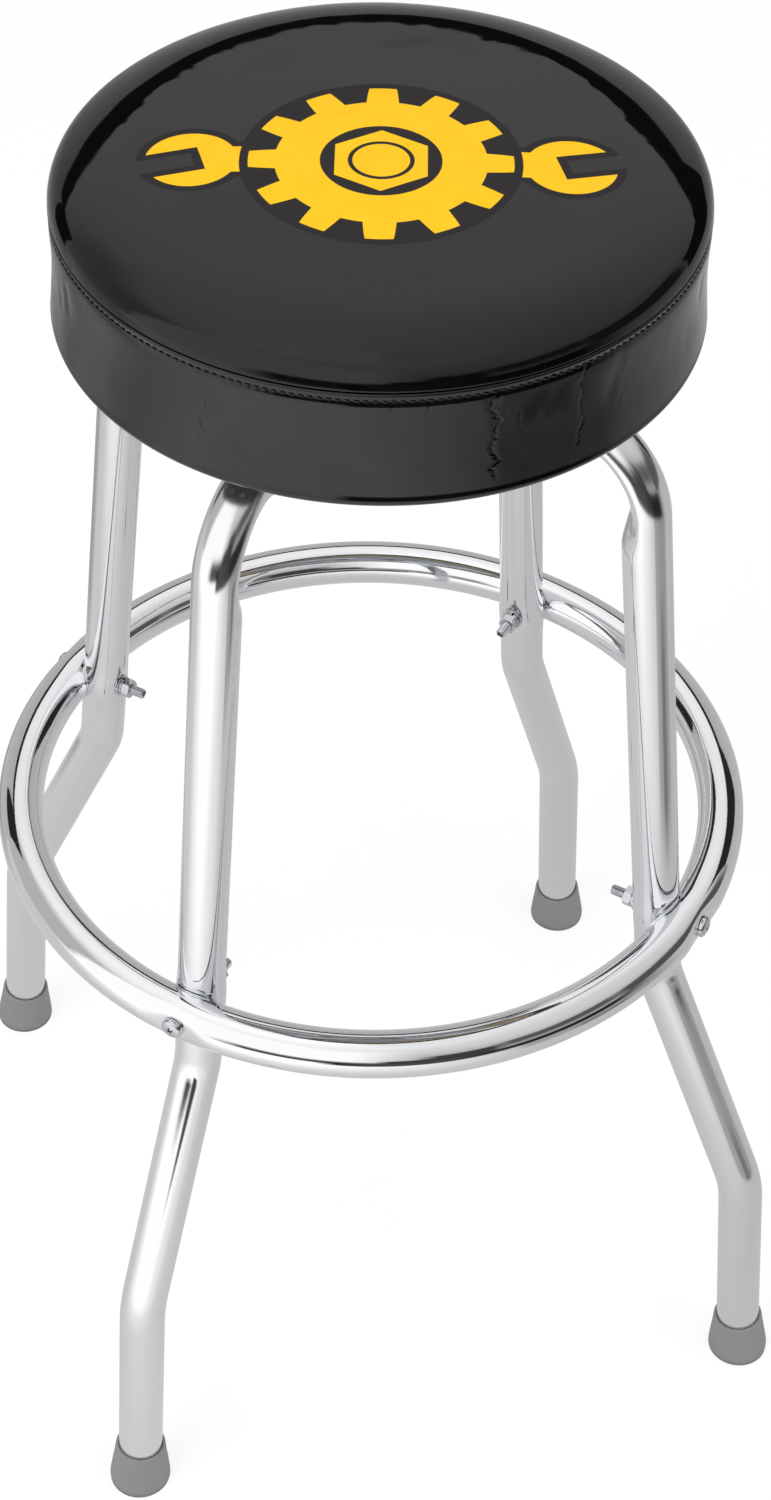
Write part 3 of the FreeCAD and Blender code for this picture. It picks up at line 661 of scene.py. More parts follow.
@dataclass(frozen=True)
class PrintedVinyl(Vinyl):
    """The same vinyl with a screen-printed emblem, whose ink lies on the coating, a little duller than it.

    A yellow cog lies before a double-ended spanner, both outlined in dark ink. Sizes are in millimetres.
    """

    title: str = "pvc_coated_knit_screen_printed"
    index: float = 1.45
    yellow: str = "#FFCC1C"
    thin_yellow: str = "#F9BD06"
    outline: str = "#231F20"
    ink_dullness: float = 0.22
    ink_shine: float = 0.16
    set_back: float = -10.0
    spanner_reach: float = 90.0
    spanner_head: float = 22.0
    spanner_shaft: float = 10.5
    jaw_half: float = 9.5
    jaw_depth: float = 5.0
    jaw_turn: float = 15.0
    cog_root: float = 50.5
    cog_tooth: float = 12.5
    cog_teeth: int = 12
    cog_bore: float = 29.0
    bolt_half: float = 22.0
    bolt_groove: tuple[float, float] = (13.64, 15.84)
    line: float = 4.2
    edge: float = 0.25
    edge_wobble: float = 0.12

    def spanner(self, across: Signal, along: Signal) -> Signal:
        """Distance outside the spanner's edge, less than zero on it.

        Args:
            across: millimetres to the right of the emblem's middle.
            along: millimetres behind it.

        Returns:
            The distance in millimetres.
        """
        side = across.do("SIGN")
        from_head = across.size() - self.spanner_reach
        mirrored = along * side
        shaft = (along.size() - self.spanner_shaft).do("MAXIMUM", from_head)
        head = from_head.distance(mirrored) - self.spanner_head
        turn = math.radians(self.jaw_turn)
        into = from_head * math.cos(turn) + mirrored * math.sin(turn)
        beside = mirrored * math.cos(turn) - from_head * math.sin(turn)
        slot = (beside.size() - self.jaw_half).do("MAXIMUM", (into + self.jaw_depth) * -1.0)
        return shaft.do("MINIMUM", head).do("MAXIMUM", slot * -1.0)

    def finished(self, shader: Shader, place: Signal, lustre: Signal, normal: Signal) -> dict[str, Signal]:
        """Yellow and dark ink over the black coating.

        Args:
            shader: the material's node tree.
            place: where a point lies on its object.
            lustre: the coating's roughness.
            normal: the coating's relief; not used.

        Returns:
            Colour, roughness and shine by input.
        """
        right, back, _ = shader.from_camera(place)
        across = right * (1.0 / MM)
        along = back * (1.0 / MM) - self.set_back
        reach = across.distance(along) + shader.noise(place, 1.5).between(-self.edge_wobble, self.edge_wobble)
        angle = along.do("ARCTAN2", across)
        tooth = (angle * float(self.cog_teeth)).do("COSINE").do("MULTIPLY_ADD", 1.7, 0.5, clamp=True)
        cog = reach - tooth.between(self.cog_root, self.cog_root + self.cog_tooth)
        cog_mark = cog.below(0.0, self.edge) * reach.above(self.cog_bore, self.edge)
        hexagon = (across.size() * 0.5 + along.size() * math.cos(math.pi / 6)).do("MAXIMUM", across.size())
        groove = reach.above(self.bolt_groove[0], self.edge) * reach.below(self.bolt_groove[1], self.edge)
        bolt_mark = hexagon.below(self.bolt_half, self.edge) * groove.inverse()
        spanner = self.spanner(across, along)
        cleared = self.cog_root + self.cog_tooth + self.line
        spanner_mark = spanner.below(0.0, self.edge) * reach.above(cleared, self.edge)
        inked = cog_mark.do("MAXIMUM", bolt_mark).do("MAXIMUM", spanner_mark)
        dark = reach.below(cleared, self.edge).do("MAXIMUM", spanner.below(self.line, self.edge))
        mottled = shader.mix(shader.noise(place, 9.0, 4.0), self.thin_yellow, self.yellow)
        outlined = shader.mix(dark, self.black, self.outline)
        return {
            "Base Color": shader.mix(inked, outlined, mottled),
            "Roughness": lustre + dark * self.ink_dullness,
            "Specular IOR Level": dark.between(0.5, self.ink_shine),
        }


@dataclass(frozen=True)
class Crease:
    """A jagged crease that runs down the band.

    Its azimuth is in degrees and the rest in millimetres. Its share is how deep it is beside the deepest.
    """

    azimuth: float
    top: float
    bottom: float
    wander: float
    width: float
    share: float = 1.0


@dataclass(frozen=True)
class CreasedVinyl(Vinyl):
    """The same vinyl where it was pulled down over the foam.

    Its coating has buckled in a few jagged creases, whose cores are painted shade: they have their shine
    taken away.
    """

    title: str = "pvc_coated_knit_creased"
    radius: float = 159.4
    depth: float = 0.22
    jag_size: float = 11.0
    thickness_size: float = 4.0
    shine: float = 0.02
    creases: tuple[Crease, ...] = (
        Crease(-86.0, 741.0, 692.0, 12.0, 1.1),
        Crease(-81.6, 726.0, 712.0, 8.0, 0.7, 0.7),
        Crease(-69.8, 740.0, 694.0, 8.5, 0.6),
        Crease(-135.5, 727.0, 700.0, 14.0, 1.2, 0.35),
        Crease(-103.0, 742.0, 735.5, 6.0, 0.8, 0.8),
        Crease(-97.5, 742.0, 733.5, 6.0, 0.9, 0.9),
        Crease(-92.5, 742.0, 736.5, 5.0, 0.8, 0.8),
        Crease(-61.0, 735.0, 702.0, 9.0, 0.6, 0.25),
        Crease(18.0, 736.0, 700.0, 9.0, 0.9, 0.8),
        Crease(95.0, 732.0, 694.0, 11.0, 0.8),
        Crease(151.0, 730.0, 697.0, 9.0, 0.8, 0.7),
    )

    def finished(self, shader: Shader, place: Signal, lustre: Signal, normal: Signal) -> dict[str, Signal]:
        """The creases, each with its own stretch of the noise that makes its jags.

        Args:
            shader: the material's node tree.
            place: where a point lies on its object.
            lustre: the coating's roughness; not used.
            normal: the coating's relief.

        Returns:
            Relief, and the shine taken out of the crease cores as painted shade, by input.
        """
        across, back, height = shader.parts(place)
        up = height * (1.0 / MM)
        along = back.do("ARCTAN2", across) * self.radius
        relief = painted_crease_shade = along * 0.0
        for number, crease in enumerate(self.creases):
            moved = shader.add("ShaderNodeMapping", {
                "Vector": place, "Scale": (0.0, 0.0, 1.0), "Location": (0.37 * number, 0.0, 0.0),
            })
            jags = shader.noise(moved, self.jag_size, 2.5, 0.62).between(-crease.wander, crease.wander)
            thickness = shader.noise(moved, self.thickness_size, 1.0).between(-0.9, 1.9)
            off = (along - math.radians(crease.azimuth) * self.radius + jags).size()
            fading = up.below(crease.top, 2.0) * up.above(crease.bottom, 8.0) * crease.share
            beside = off - thickness * (crease.width * 0.5)
            # Painted shade: the cores of the creases lose their specular shine and render black
            painted_crease_shade = painted_crease_shade.do("MAXIMUM", beside.below(0.0, 0.35) * fading)
            relief = relief.do("MAXIMUM", off.below(crease.width * 0.8, 2.6) * fading)
        creased = shader.bump(relief * -self.depth, 1.0, 1.0, normal)
        return {"Normal": creased, "Specular IOR Level": painted_crease_shade.between(0.5, self.shine)}


@dataclass(frozen=True)
class Chrome(Finish):
    """Nickel and chromium plated on buffed steel: a white mirror.

    It has a faint haze, slow waves from the wheel and the long lines that drawing leaves along a tube. It is
    duller at the top bends, which the wheel hardly reaches.
    """

    title: str = "nickel_chrome_plate_buffed"
    white: str = "#EDEEF0"
    wave_size: float = 16.0
    haze_size: float = 2.5
    line_size: float = 3.5
    relief: float = 0.02
    stretch: tuple[float, float, float] = (1.0, 1.0, 0.03)
    clearest: float = 0.02
    haziest: float = 0.075
    top_bend: float = 612.0
    bend_blur: float = 0.13

    def paint(self, shader: Shader) -> Signal:
        """Mirror, haze, waves and lines.

        Args:
            shader: the material's node tree.

        Returns:
            The surface.
        """
        place = shader.place()
        waved = shader.bump(shader.noise(place, self.wave_size, 1.0, 0.4), 0.4, self.relief)
        stretched = shader.add("ShaderNodeMapping", {"Vector": place, "Scale": self.stretch})
        drawn = shader.bump(shader.noise(stretched, self.line_size), 0.5, self.relief, waved)
        haze = shader.noise(place, self.haze_size, 4.0, 0.7).between(self.clearest, self.haziest)
        height = shader.parts(place)[2] * (1.0 / MM)
        return shader.add("ShaderNodeBsdfPrincipled", {
            "Base Color": linear(self.white), "Metallic": 1.0,
            "Roughness": haze + height.above(self.top_bend, 60.0) * self.bend_blur, "Normal": drawn,
        })


@dataclass(frozen=True)
class PlatedSteel(Finish):
    """Steel with a thin plating, zinc or nickel: satin, with blotches from the bath and fine tool lines."""

    title: str = "zinc_plated_steel_passivated"
    light: str = "#C3C7CC"
    dark: str = "#9DA3AA"
    smoothest: float = 0.22
    roughest: float = 0.42
    blotch_size: float = 5.0
    line_size: float = 0.5

    def paint(self, shader: Shader) -> Signal:
        """Blotches and tool lines.

        Args:
            shader: the material's node tree.

        Returns:
            The surface.
        """
        place = shader.place()
        blotches = shader.noise(place, self.blotch_size, 4.0, 0.65)
        return shader.add("ShaderNodeBsdfPrincipled", {
            "Base Color": shader.mix(blotches, self.dark, self.light), "Metallic": 1.0,
            "Roughness": blotches.between(self.smoothest, self.roughest),
            "Normal": shader.bump(shader.noise(place, self.line_size), 0.3, 0.02),
        })


@dataclass(frozen=True)
class Rubber(Finish):
    """Grey rubber, compression moulded: matt, with a faint bloom and a fine moulded skin, darker in patches
    along its lowest few millimetres.
    """

    title: str = "grey_rubber_moulded"
    grey: str = "#858586"
    bloom: str = "#929292"
    bottom_grey: str = "#5C5B59"
    bloom_size: float = 12.0
    skin_size: float = 0.45

    def paint(self, shader: Shader) -> Signal:
        """Bloom, darker patches along the bottom, and skin.

        Args:
            shader: the material's node tree.

        Returns:
            The surface.
        """
        place = shader.place()
        bloom = shader.noise(place, self.bloom_size, 5.0, 0.6)
        # Darker in patches along the lowest few millimetres, next to the floor
        darker_at_bottom = shader.parts(place)[2].below(2.5 * MM, 3.0 * MM) * bloom * 0.8
        return shader.add("ShaderNodeBsdfPrincipled", {
            "Base Color": shader.mix(darker_at_bottom, shader.mix(bloom, self.grey, self.bloom), self.bottom_grey),
            "Roughness": bloom.between(0.52, 0.70), "IOR": 1.52,
            "Normal": shader.bump(shader.noise(place, self.skin_size), 0.5, 0.04),
        })


@dataclass(frozen=True)
class Thread(Finish):
    """Black bonded nylon thread: soft sheen, with the twist of its plies."""

    title: str = "nylon_thread_bonded"
    black: str = "#0B0B0B"

    def paint(self, shader: Shader) -> Signal:
        """Plies.

        Args:
            shader: the material's node tree.

        Returns:
            The surface.
        """
        plies = shader.noise(shader.place(), 0.35, 1.0)
        return shader.add("ShaderNodeBsdfPrincipled", {
            "Base Color": linear(self.black), "Roughness": 0.42, "IOR": 1.53,
            "Normal": shader.bump(plies, 0.8, 0.06),
        })


@dataclass(frozen=True)
class KnitBacking(Finish):
    """The knitted back of the vinyl, seen at its cut edge: off-white polyester loops."""

    title: str = "polyester_knit_backing"

    def paint(self, shader: Shader) -> Signal:
        """Loops.

        Args:
            shader: the material's node tree.

        Returns:
            The surface.
        """
        loops = shader.add("ShaderNodeTexVoronoi", {"Vector": shader.place(), "Scale": cycles_per(0.9)})
        return shader.add("ShaderNodeBsdfPrincipled", {
            "Base Color": shader.mix(loops, "#C9C5BC", "#8E8A82"), "Roughness": 0.85, "Sheen Weight": 0.3,
            "Normal": shader.bump(loops, 0.8, 0.2),
        })


@dataclass(frozen=True)
class Foam(Finish):
    """Polyurethane foam, cut from block: cream open cells."""

    title: str = "polyurethane_foam_cut"

    def paint(self, shader: Shader) -> Signal:
        """Open cells.

        Args:
            shader: the material's node tree.

        Returns:
            The surface.
        """
        cells = shader.add("ShaderNodeTexVoronoi", {"Vector": shader.place(), "Scale": cycles_per(1.1)})
        return shader.add("ShaderNodeBsdfPrincipled", {
            "Base Color": shader.mix(cells, "#9A8A55", "#E6D9A6"), "Roughness": 0.9,
            "Normal": shader.bump(cells, 0.9, 0.5),
        })


@dataclass(frozen=True)
class Plywood(Finish):
    """Rotary-cut plywood, sanded: long growth bands on its faces and stacked plies on its edge."""

    title: str = "birch_plywood_sanded"
    ply: float = 1.5

    def paint(self, shader: Shader) -> Signal:
        """Growth bands, fibres and plies.

        Args:
            shader: the material's node tree.

        Returns:
            The surface.
        """
        place = shader.place()
        stretched = shader.add("ShaderNodeMapping", {"Vector": place, "Scale": (0.12, 1.0, 1.0)})
        bands = shader.noise(stretched, 14.0, 6.0, 0.62, 0.8).above(0.5, 0.35)
        fibres = shader.noise(stretched, 0.9, 3.0, 0.7)
        plies = (shader.parts(place)[2] * (math.pi / (self.ply * MM))).do("SINE").above(0.0, 0.4)
        banded = shader.mix(bands, "#B3A58C", "#948369")
        grained = shader.mix(fibres * 0.35, banded, "#74644D")
        return shader.add("ShaderNodeBsdfPrincipled", {
            "Base Color": shader.mix(plies * 0.30, grained, "#85745B"),
            "Roughness": fibres.between(0.5, 0.75), "Normal": shader.bump(fibres, 0.5, 0.08),
        })


ZINC = PlatedSteel()
BRIGHT_STEEL = PlatedSteel(
    title="nickel_plated_steel_turned", light="#DCDDDF", dark="#C2C4C8",
    smoothest=0.10, roughest=0.22, blotch_size=3.0,
)
WIRE = PlatedSteel(
    title="galvanised_wire_drawn", light="#C9CBCE", dark="#A7AAAE", smoothest=0.2, roughest=0.35
)
BALL_STEEL = PlatedSteel(
    title="bearing_steel_ground", light="#DADBDD", dark="#CFD0D2",
    smoothest=0.05, roughest=0.10, blotch_size=8.0,
)


class Dresser:
    """Makes each finish once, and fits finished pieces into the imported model."""

    def __init__(self) -> None:
        """Start with no material made."""
        self.made: dict[str, bpy.types.Material] = {}

    def material(self, finish: Finish) -> bpy.types.Material:
        """The material of a finish, made at its first use.

        Args:
            finish: the finish.

        Returns:
            The material.
        """
        if finish.title not in self.made:
            self.made[finish.title] = finish.material()
        return self.made[finish.title]

    def fit(
        self, piece: bpy.types.Object, finish: Finish, body: Body, slot: str, *nodes: str
    ) -> bpy.types.Object:
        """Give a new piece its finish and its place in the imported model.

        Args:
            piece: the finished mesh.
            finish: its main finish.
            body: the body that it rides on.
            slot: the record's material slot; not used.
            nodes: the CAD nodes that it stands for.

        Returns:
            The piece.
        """
        if not piece.data.materials:
            piece.data.materials.append(self.material(finish))
        else:
            piece.data.materials[0] = self.material(finish)
        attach(piece, body.value)
        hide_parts(*nodes)
        LOG.info("%s: %d faces, %s", piece.name, len(piece.data.polygons), finish.title)
        return piece

    def dress(self, frame: dict, node: str, finish: Finish) -> None:
        """Give a CAD node, whose shape is kept, its finish.

        Args:
            frame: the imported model.
            node: the node's name.
            finish: its finish.
        """
        slots = frame["nodes"][node].data.materials
        slots.clear()
        slots.append(self.material(finish))
        LOG.info("%s: CAD shape, %s", node, finish.title)


# Seat

@dataclass(frozen=True)
class Crown:
    """Half the section of the seat's top: a shoulder at the seam, a brow inside it and a wide dome."""

    seam_radius: float = 159.6 * MM
    seam_height: float = 743.8 * MM
    top: float = 768.0 * MM
    shoulder: float = 14.0 * MM
    brow: float = 75.0 * MM
    brow_reach: float = 152.4 * MM

    @property
    def shoulder_centre(self) -> Vector:
        """Centre of the shoulder's curve, as (reach, height)."""
        return Vector((self.seam_radius - self.shoulder, self.seam_height))

    @property
    def tilt(self) -> float:
        """How far the surface leans outwards where the shoulder passes into the brow."""
        return math.asin((self.brow_reach - self.shoulder_centre.x) / self.shoulder)

    @property
    def brow_centre(self) -> Vector:
        """Centre of the brow's curve."""
        leaning = Vector((math.sin(self.tilt), math.cos(self.tilt)))
        return self.shoulder_centre - leaning * (self.brow - self.shoulder)

    @property
    def dome_radius(self) -> float:
        """Radius of the dome."""
        drop = self.top - self.brow_centre.y
        return (self.brow_centre.x**2 + drop**2 - self.brow**2) / (2 * (drop - self.brow))

    @property
    def dome_tilt(self) -> float:
        """How far the surface leans outwards where the brow passes into the dome."""
        return math.asin(self.brow_centre.x / (self.dome_radius - self.brow))

    def dome_height(self, reach: float) -> float:
        """Height of the dome at a distance from the axis."""
        return self.top - self.dome_radius + math.sqrt(self.dome_radius**2 - reach**2)

    def edge(self, inset: float, start: float, steps: tuple[int, int]) -> list[Point]:
        """Points along the shoulder and the brow, moved inwards by an inset.

        Args:
            inset: distance under the surface.
            start: the first point's angle above the horizontal, in degrees.
            steps: how many chords the shoulder and the brow have.

        Returns:
            (reach, height) of each point, from the seam inwards.
        """
        meeting = 90.0 - math.degrees(self.tilt)
        points = arc(tuple(self.shoulder_centre), self.shoulder - inset, start, meeting, steps[0])
        end = 90.0 - math.degrees(self.dome_tilt)
        return points + arc(tuple(self.brow_centre), self.brow - inset, meeting, end, steps[1])[1:]


@dataclass(frozen=True)
class Fold:
    """An upright fold in the band: degrees round from the camera, and the rest in millimetres."""

    offset: float
    top: float
    bottom: float
    depth: float
    width: float


@dataclass
class Seat:
    """The seat: a printed top panel sewn to a side band over foam, on a plywood board."""

    dresser: Dresser
    crown: Crown = Crown()
    underside: float = 679.0 * MM
    board: float = 15.0 * MM
    vinyl: float = 1.2 * MM
    flange: float = 3.4 * MM
    roll: float = 1.5 * MM
    crease: float = 0.15 * MM
    closure: float = 0.10 * MM
    field_radius: float = 116.0 * MM
    field_span: int = 96
    sewn_radius: float = 156.5 * MM
    settle_frames: int = 20
    settle_most: float = 0.5 * MM
    stitch_count: int = 238
    stitch_drop: float = 4.5 * MM
    thread_radius: float = 0.40 * MM
    base_radius: float = 161.4 * MM
    base_roll: float = 5.0 * MM
    hem_radius: float = 135.4 * MM
    pucker: float = 0.16 * MM
    pucker_reach: float = 1.5 * MM
    pleat: float = 0.55 * MM
    fine_pleat: float = 0.22 * MM
    folds: tuple[Fold, ...] = (
        Fold(19.5, 737.0, 692.0, 0.22, 6.0),
        Fold(23.0, 728.0, 700.0, -0.18, 6.5),
        Fold(29.5, 738.0, 694.0, 0.22, 6.0),
        Fold(33.5, 724.0, 690.0, -0.16, 6.5),
        Fold(-30.0, 730.0, 705.0, 0.25, 7.0),
        Fold(44.0, 736.0, 712.0, 0.20, 6.0),
        Fold(-66.0, 728.0, 716.0, 0.6, 5.0),
        Fold(-71.0, 722.0, 712.0, 0.5, 5.0),
        Fold(-60.0, 733.0, 722.0, 0.4, 6.0),
    )
    unseen_folds: int = 16
    chance: random.Random = field(default_factory=lambda: random.Random(7))

    def top_panel(self) -> bpy.types.Object:
        """The domed panel that is sat on, from the seam up.

        Returns:
            The panel, before it settles.
        """
        crown = self.crown
        radius = crown.seam_radius
        outline = [(radius - self.flange, crown.seam_height - self.closure)]
        roll_centre = (radius - self.roll, crown.seam_height + self.crease + self.roll)
        outline += arc(roll_centre, self.roll, -90.0, -8.0, 4)
        outline += crown.edge(0.0, 8.0, (11, 14))
        outline.append((self.field_radius, crown.dome_height(self.field_radius)))
        panel = lathe("seat_top_panel", outline, self.field_span * 4)
        rim = crown.dome_height(self.field_radius)
        edge = self.field_radius + 0.1 * MM
        with Bench(panel) as bench:
            bench.pick(lambda place, _: place.z > rim - 0.001 * MM and place.xy.length < edge)
            bpy.ops.mesh.fill_grid(span=self.field_span)
            bench.pick(lambda place, _: place.xy.length < 0.6 * MM)
            bench.push(Vector((0.0, 0.0, crown.top - rim)), self.field_radius, "INVERSE_SQUARE")
            bench.merge()
        return panel

    def settle(self, panel: bpy.types.Object) -> None:
        """Let the panel settle over the foam: air pressure lifts it, and the sewn rim holds it.

        Args:
            panel: the top panel.
        """
        before = [point.co.copy() for point in panel.data.vertices]
        sewn = panel.vertex_groups.new(name="sewn")
        sewn.add([p.index for p in panel.data.vertices if p.co.xy.length > self.sewn_radius], 1.0, "REPLACE")
        focus(panel)
        modifier = panel.modifiers.new("settle", "CLOTH")
        modifier.settings.vertex_group_mass = sewn.name
        modifier.settings.quality = 6
        modifier.settings.mass = 0.4
        modifier.settings.tension_stiffness = 30.0
        modifier.settings.compression_stiffness = 30.0
        modifier.settings.bending_stiffness = 4.0
        modifier.settings.use_pressure = True
        modifier.settings.uniform_pressure_force = 4.0
        modifier.settings.effector_weights.gravity = 0.0
        modifier.point_cache.frame_start = 1
        modifier.point_cache.frame_end = self.settle_frames
        for frame_number in range(1, self.settle_frames + 1):
            bpy.context.scene.frame_set(frame_number)
        bpy.ops.object.modifier_apply(modifier=modifier.name)
        for point, start in zip(panel.data.vertices, before):
            shift = point.co - start
            if shift.length > self.settle_most:
                shift *= self.settle_most / shift.length
            held = 0.9 * smooth_step(start.xy.length, 30 * MM, 122 * MM)
            point.co = start + shift * (1.0 - held)
        bpy.context.scene.frame_set(1)
        panel.vertex_groups.clear()

    def crumple(self, panel: bpy.types.Object) -> None:
        """Slow unevenness of the foam all over, and puckers where the shoulder turns down to the seam.

        Args:
            panel: the top panel.
        """

        def on_shoulder(place: Vector) -> float:
            """The share of the puckers that a point gets.

            Args:
                place: the point.

            Returns:
                The share, from 0 to 1.
            """
            reach = place.xy.length
            outer = smooth_step(reach, 157 * MM, 159.4 * MM)
            return smooth_step(reach, 138 * MM, 150 * MM) * (1.0 - outer)

        roughen(panel, 60.0 * MM, 0.25 * MM)
        roughen(panel, 12.0 * MM, 0.09 * MM, on_shoulder)

    def lower(self, panel: bpy.types.Object) -> None:
        """Bring the panel's highest point back to the seat's height, and less of it nearer the seam.

        Args:
            panel: the top panel.
        """
        over = max(point.co.z for point in panel.data.vertices) - self.crown.top

        def lowered(place: Vector) -> Vector:
            """Where a point goes."""
            share = smooth_step(self.crown.seam_radius - place.xy.length, 2 * MM, 60 * MM)
            return place - Vector((0.0, 0.0, over * share))

        reshape(panel, lowered)

    def top(self) -> bpy.types.Object:
        """Build and dress the top panel.

        Returns:
            The top panel.
        """
        panel = self.top_panel()
        self.settle(panel)
        self.crumple(panel)
        self.lower(panel)
        modify(panel, "SOLIDIFY", thickness=self.vinyl, offset=-1.0)
        smooth(panel, 60.0)
        return self.dresser.fit(panel, PrintedVinyl(), Body.SEAT, "black_vinyl", "seat_top_vinyl")

    def band_shape(self) -> bpy.types.Object:
        """The side band: rolled at the seam, drawn in by the stitches, and turned in under the board.

        Each point of its wall is (drop under the seam, distance outside the seam's radius) in millimetres.

        Returns:
            The band, before it is puckered and creased.
        """
        seam = self.crown.seam_height - self.crease
        radius = self.crown.seam_radius
        outline = [(radius - self.flange, self.crown.seam_height + self.closure)]
        outline += arc((radius - 1.1 * MM, seam - 1.2 * MM), 1.2 * MM, 90.0, 0.0, 5)
        wall = [
            (1.7, 0.05), (2.1, -0.10), (2.8, -0.30), (3.4, -0.45), (3.9, -0.62), (4.5, -0.70),
            (5.1, -0.60), (5.7, -0.35), (6.5, -0.12), (7.5, 0.0), (9.0, 0.02), (12.0, -0.05), (16.0, -0.17),
            (20.5, -0.30), (25.0, -0.38), (29.5, -0.40), (34.0, -0.32), (38.5, -0.10), (43.0, 0.25),
            (47.5, 0.65), (52.0, 1.05), (56.5, 1.45), (59.5, 1.68),
        ]
        outline += [(radius + out * MM, self.crown.seam_height - drop * MM) for drop, out in wall]
        roll_centre = (self.base_radius - self.base_roll, self.underside + self.base_roll)
        outline += arc(roll_centre, self.base_roll, 0.0, -90.0, 7)
        outline += [(reach * MM, self.underside) for reach in (152.5, 149.0, 145.5, 142.0, 138.5)]
        outline.append((self.hem_radius, self.underside))
        return lathe("seat_side_band", outline, self.stitch_count * 4)

    def pucker_band(self, band: bpy.types.Object) -> None:
        """Draw the vinyl in at every stitch, and gather it in pleats under the board.

        Args:
            band: the side band.
        """
        stitch_level = self.crown.seam_height - self.stitch_drop

        def gathered(place: Vector) -> Vector:
            """Where a point goes.

            Args:
                place: the point before.

            Returns:
                The point after.
            """
            azimuth = math.atan2(place.y, place.x)
            outwards = Vector((math.cos(azimuth), math.sin(azimuth), 0.0))
            beat = math.cos(azimuth * self.stitch_count)
            near = math.exp(-((place.z - stitch_level - 0.6 * MM) / self.pucker_reach) ** 2)
            slack = 0.6 + 0.4 * math.sin(azimuth * 7.0 + 1.0) * math.sin(azimuth * 3.0)
            moved = place + outwards * (self.pucker * beat * near * slack)
            under = 1.0 - smooth_step(place.z, self.underside + 0.2 * MM, self.underside + 2.5 * MM)
            inside = under * smooth_step(158.0 * MM - place.xy.length, 0.0, 10.0 * MM)
            pleats = math.sin(azimuth * 61.0 + 2.0 * math.sin(azimuth * 9.0))
            fine = math.sin(azimuth * 143.0 + 1.5 * math.sin(azimuth * 17.0))
            moved.z += inside * (self.pleat * max(0.0, pleats) + self.fine_pleat * max(0.0, fine))
            return moved

        reshape(band, gathered)

    def unseen(self) -> list[Fold]:
        """Folds at chance places on the sides that the photograph doesn't show.

        Returns:
            The folds.
        """
        draw = self.chance.uniform
        folds = []
        for _ in range(self.unseen_folds):
            offset, top = draw(60.0, 280.0), draw(722.0, 737.0)
            bottom = top - draw(10.0, 36.0)
            depth = draw(0.25, 0.6) * self.chance.choice((1, -1))
            folds.append(Fold(offset, top, bottom, depth, draw(5.0, 8.0)))
        return folds

    def crease_band(self, band: bpy.types.Object) -> None:
        """Push upright folds and small pocks into the band, where the vinyl was pulled down over the foam.

        Args:
            band: the side band.
        """
        with Bench(band) as bench:
            for fold in (*self.folds, *self.unseen()):
                azimuth = math.radians(CAMERA_AZIMUTH - 90.0 + fold.offset)
                lean = self.chance.uniform(-0.05, 0.05)
                phase = self.chance.uniform(0.0, WHOLE_TURN)

                def on_fold(place: Vector, _: Vector) -> bool:
                    """Whether a point lies on the fold.

                    Args:
                        place: the point.

                    Returns:
                        True if it does.
                    """
                    if not fold.bottom * MM < place.z < fold.top * MM or place.xy.length < 150.0 * MM:
                        return False
                    down = (fold.top * MM - place.z) / (24.0 * MM)
                    bend = azimuth + lean * down + 0.012 * math.sin(down * 5.0 + phase)
                    off = (math.atan2(place.y, place.x) - bend + math.pi) % WHOLE_TURN - math.pi
                    return abs(off) * self.crown.seam_radius < 0.9 * MM

                if bench.pick(on_fold):
                    inwards = Vector((-math.cos(azimuth), -math.sin(azimuth), 0.0))
                    bench.push(inwards * (fold.depth * MM), fold.width * MM)

    def side(self) -> bpy.types.Object:
        """Build and dress the side band.

        Returns:
            The side band.
        """

        def on_wall(place: Vector) -> float:
            """The share of the unevenness that a point gets."""
            return smooth_step(place.z, 688 * MM, 700 * MM) * (1.0 - smooth_step(place.z, 728 * MM, 738 * MM))

        band = self.band_shape()
        self.pucker_band(band)
        self.crease_band(band)
        roughen(band, 34.0 * MM, 0.9 * MM, on_wall)
        band.data.materials.append(self.dresser.material(CreasedVinyl()))
        band.data.materials.append(self.dresser.material(KnitBacking()))
        modify(band, "SOLIDIFY", thickness=self.vinyl, offset=-1.0, material_offset=1, material_offset_rim=1)
        smooth(band, 60.0)
        return self.dresser.fit(band, CreasedVinyl(), Body.SEAT, "black_vinyl", "seat_side_vinyl")

    def stitches(self) -> bpy.types.Object:
        """One arched stitch, repeated round the seat.

        Returns:
            The stitches as one piece.
        """
        deselect()
        arch = 2.2 * MM
        half = math.radians(46.0)
        slant = math.radians(9.0)
        upright = (0.0, 0.0, 1.0)
        level = self.crown.seam_height - self.stitch_drop
        reach = self.crown.seam_radius - 0.30 * MM
        middle = Vector((reach, 0.0, 0.0))
        centre = Vector((reach - arch, 0.0, 0.0))
        bpy.ops.mesh.primitive_circle_add(
            vertices=6, radius=self.thread_radius, fill_type="NGON", location=middle,
            rotation=(math.pi / 2, 0.0, 0.0),
        )
        stitch = settled("seat_stitches")
        with Bench(stitch) as bench:
            bench.pick_all()
            bpy.ops.transform.rotate(value=-half, orient_axis="Z", center_override=centre)
            bpy.ops.mesh.spin(steps=5, angle=2 * half, center=centre, axis=upright)
            bench.merge()
            bench.pick_all()
            bpy.ops.transform.rotate(value=slant, orient_axis="X", center_override=middle)
            bpy.ops.transform.translate(value=(0.0, 0.0, level))
            bpy.ops.mesh.spin(
                steps=self.stitch_count, dupli=True, angle=WHOLE_TURN, center=(0.0, 0.0, 0.0), axis=upright
            )
            bench.merge()
        smooth(stitch, 60.0)
        return self.dresser.fit(stitch, Thread(), Body.SEAT, "black_thread", "seat_stitching")

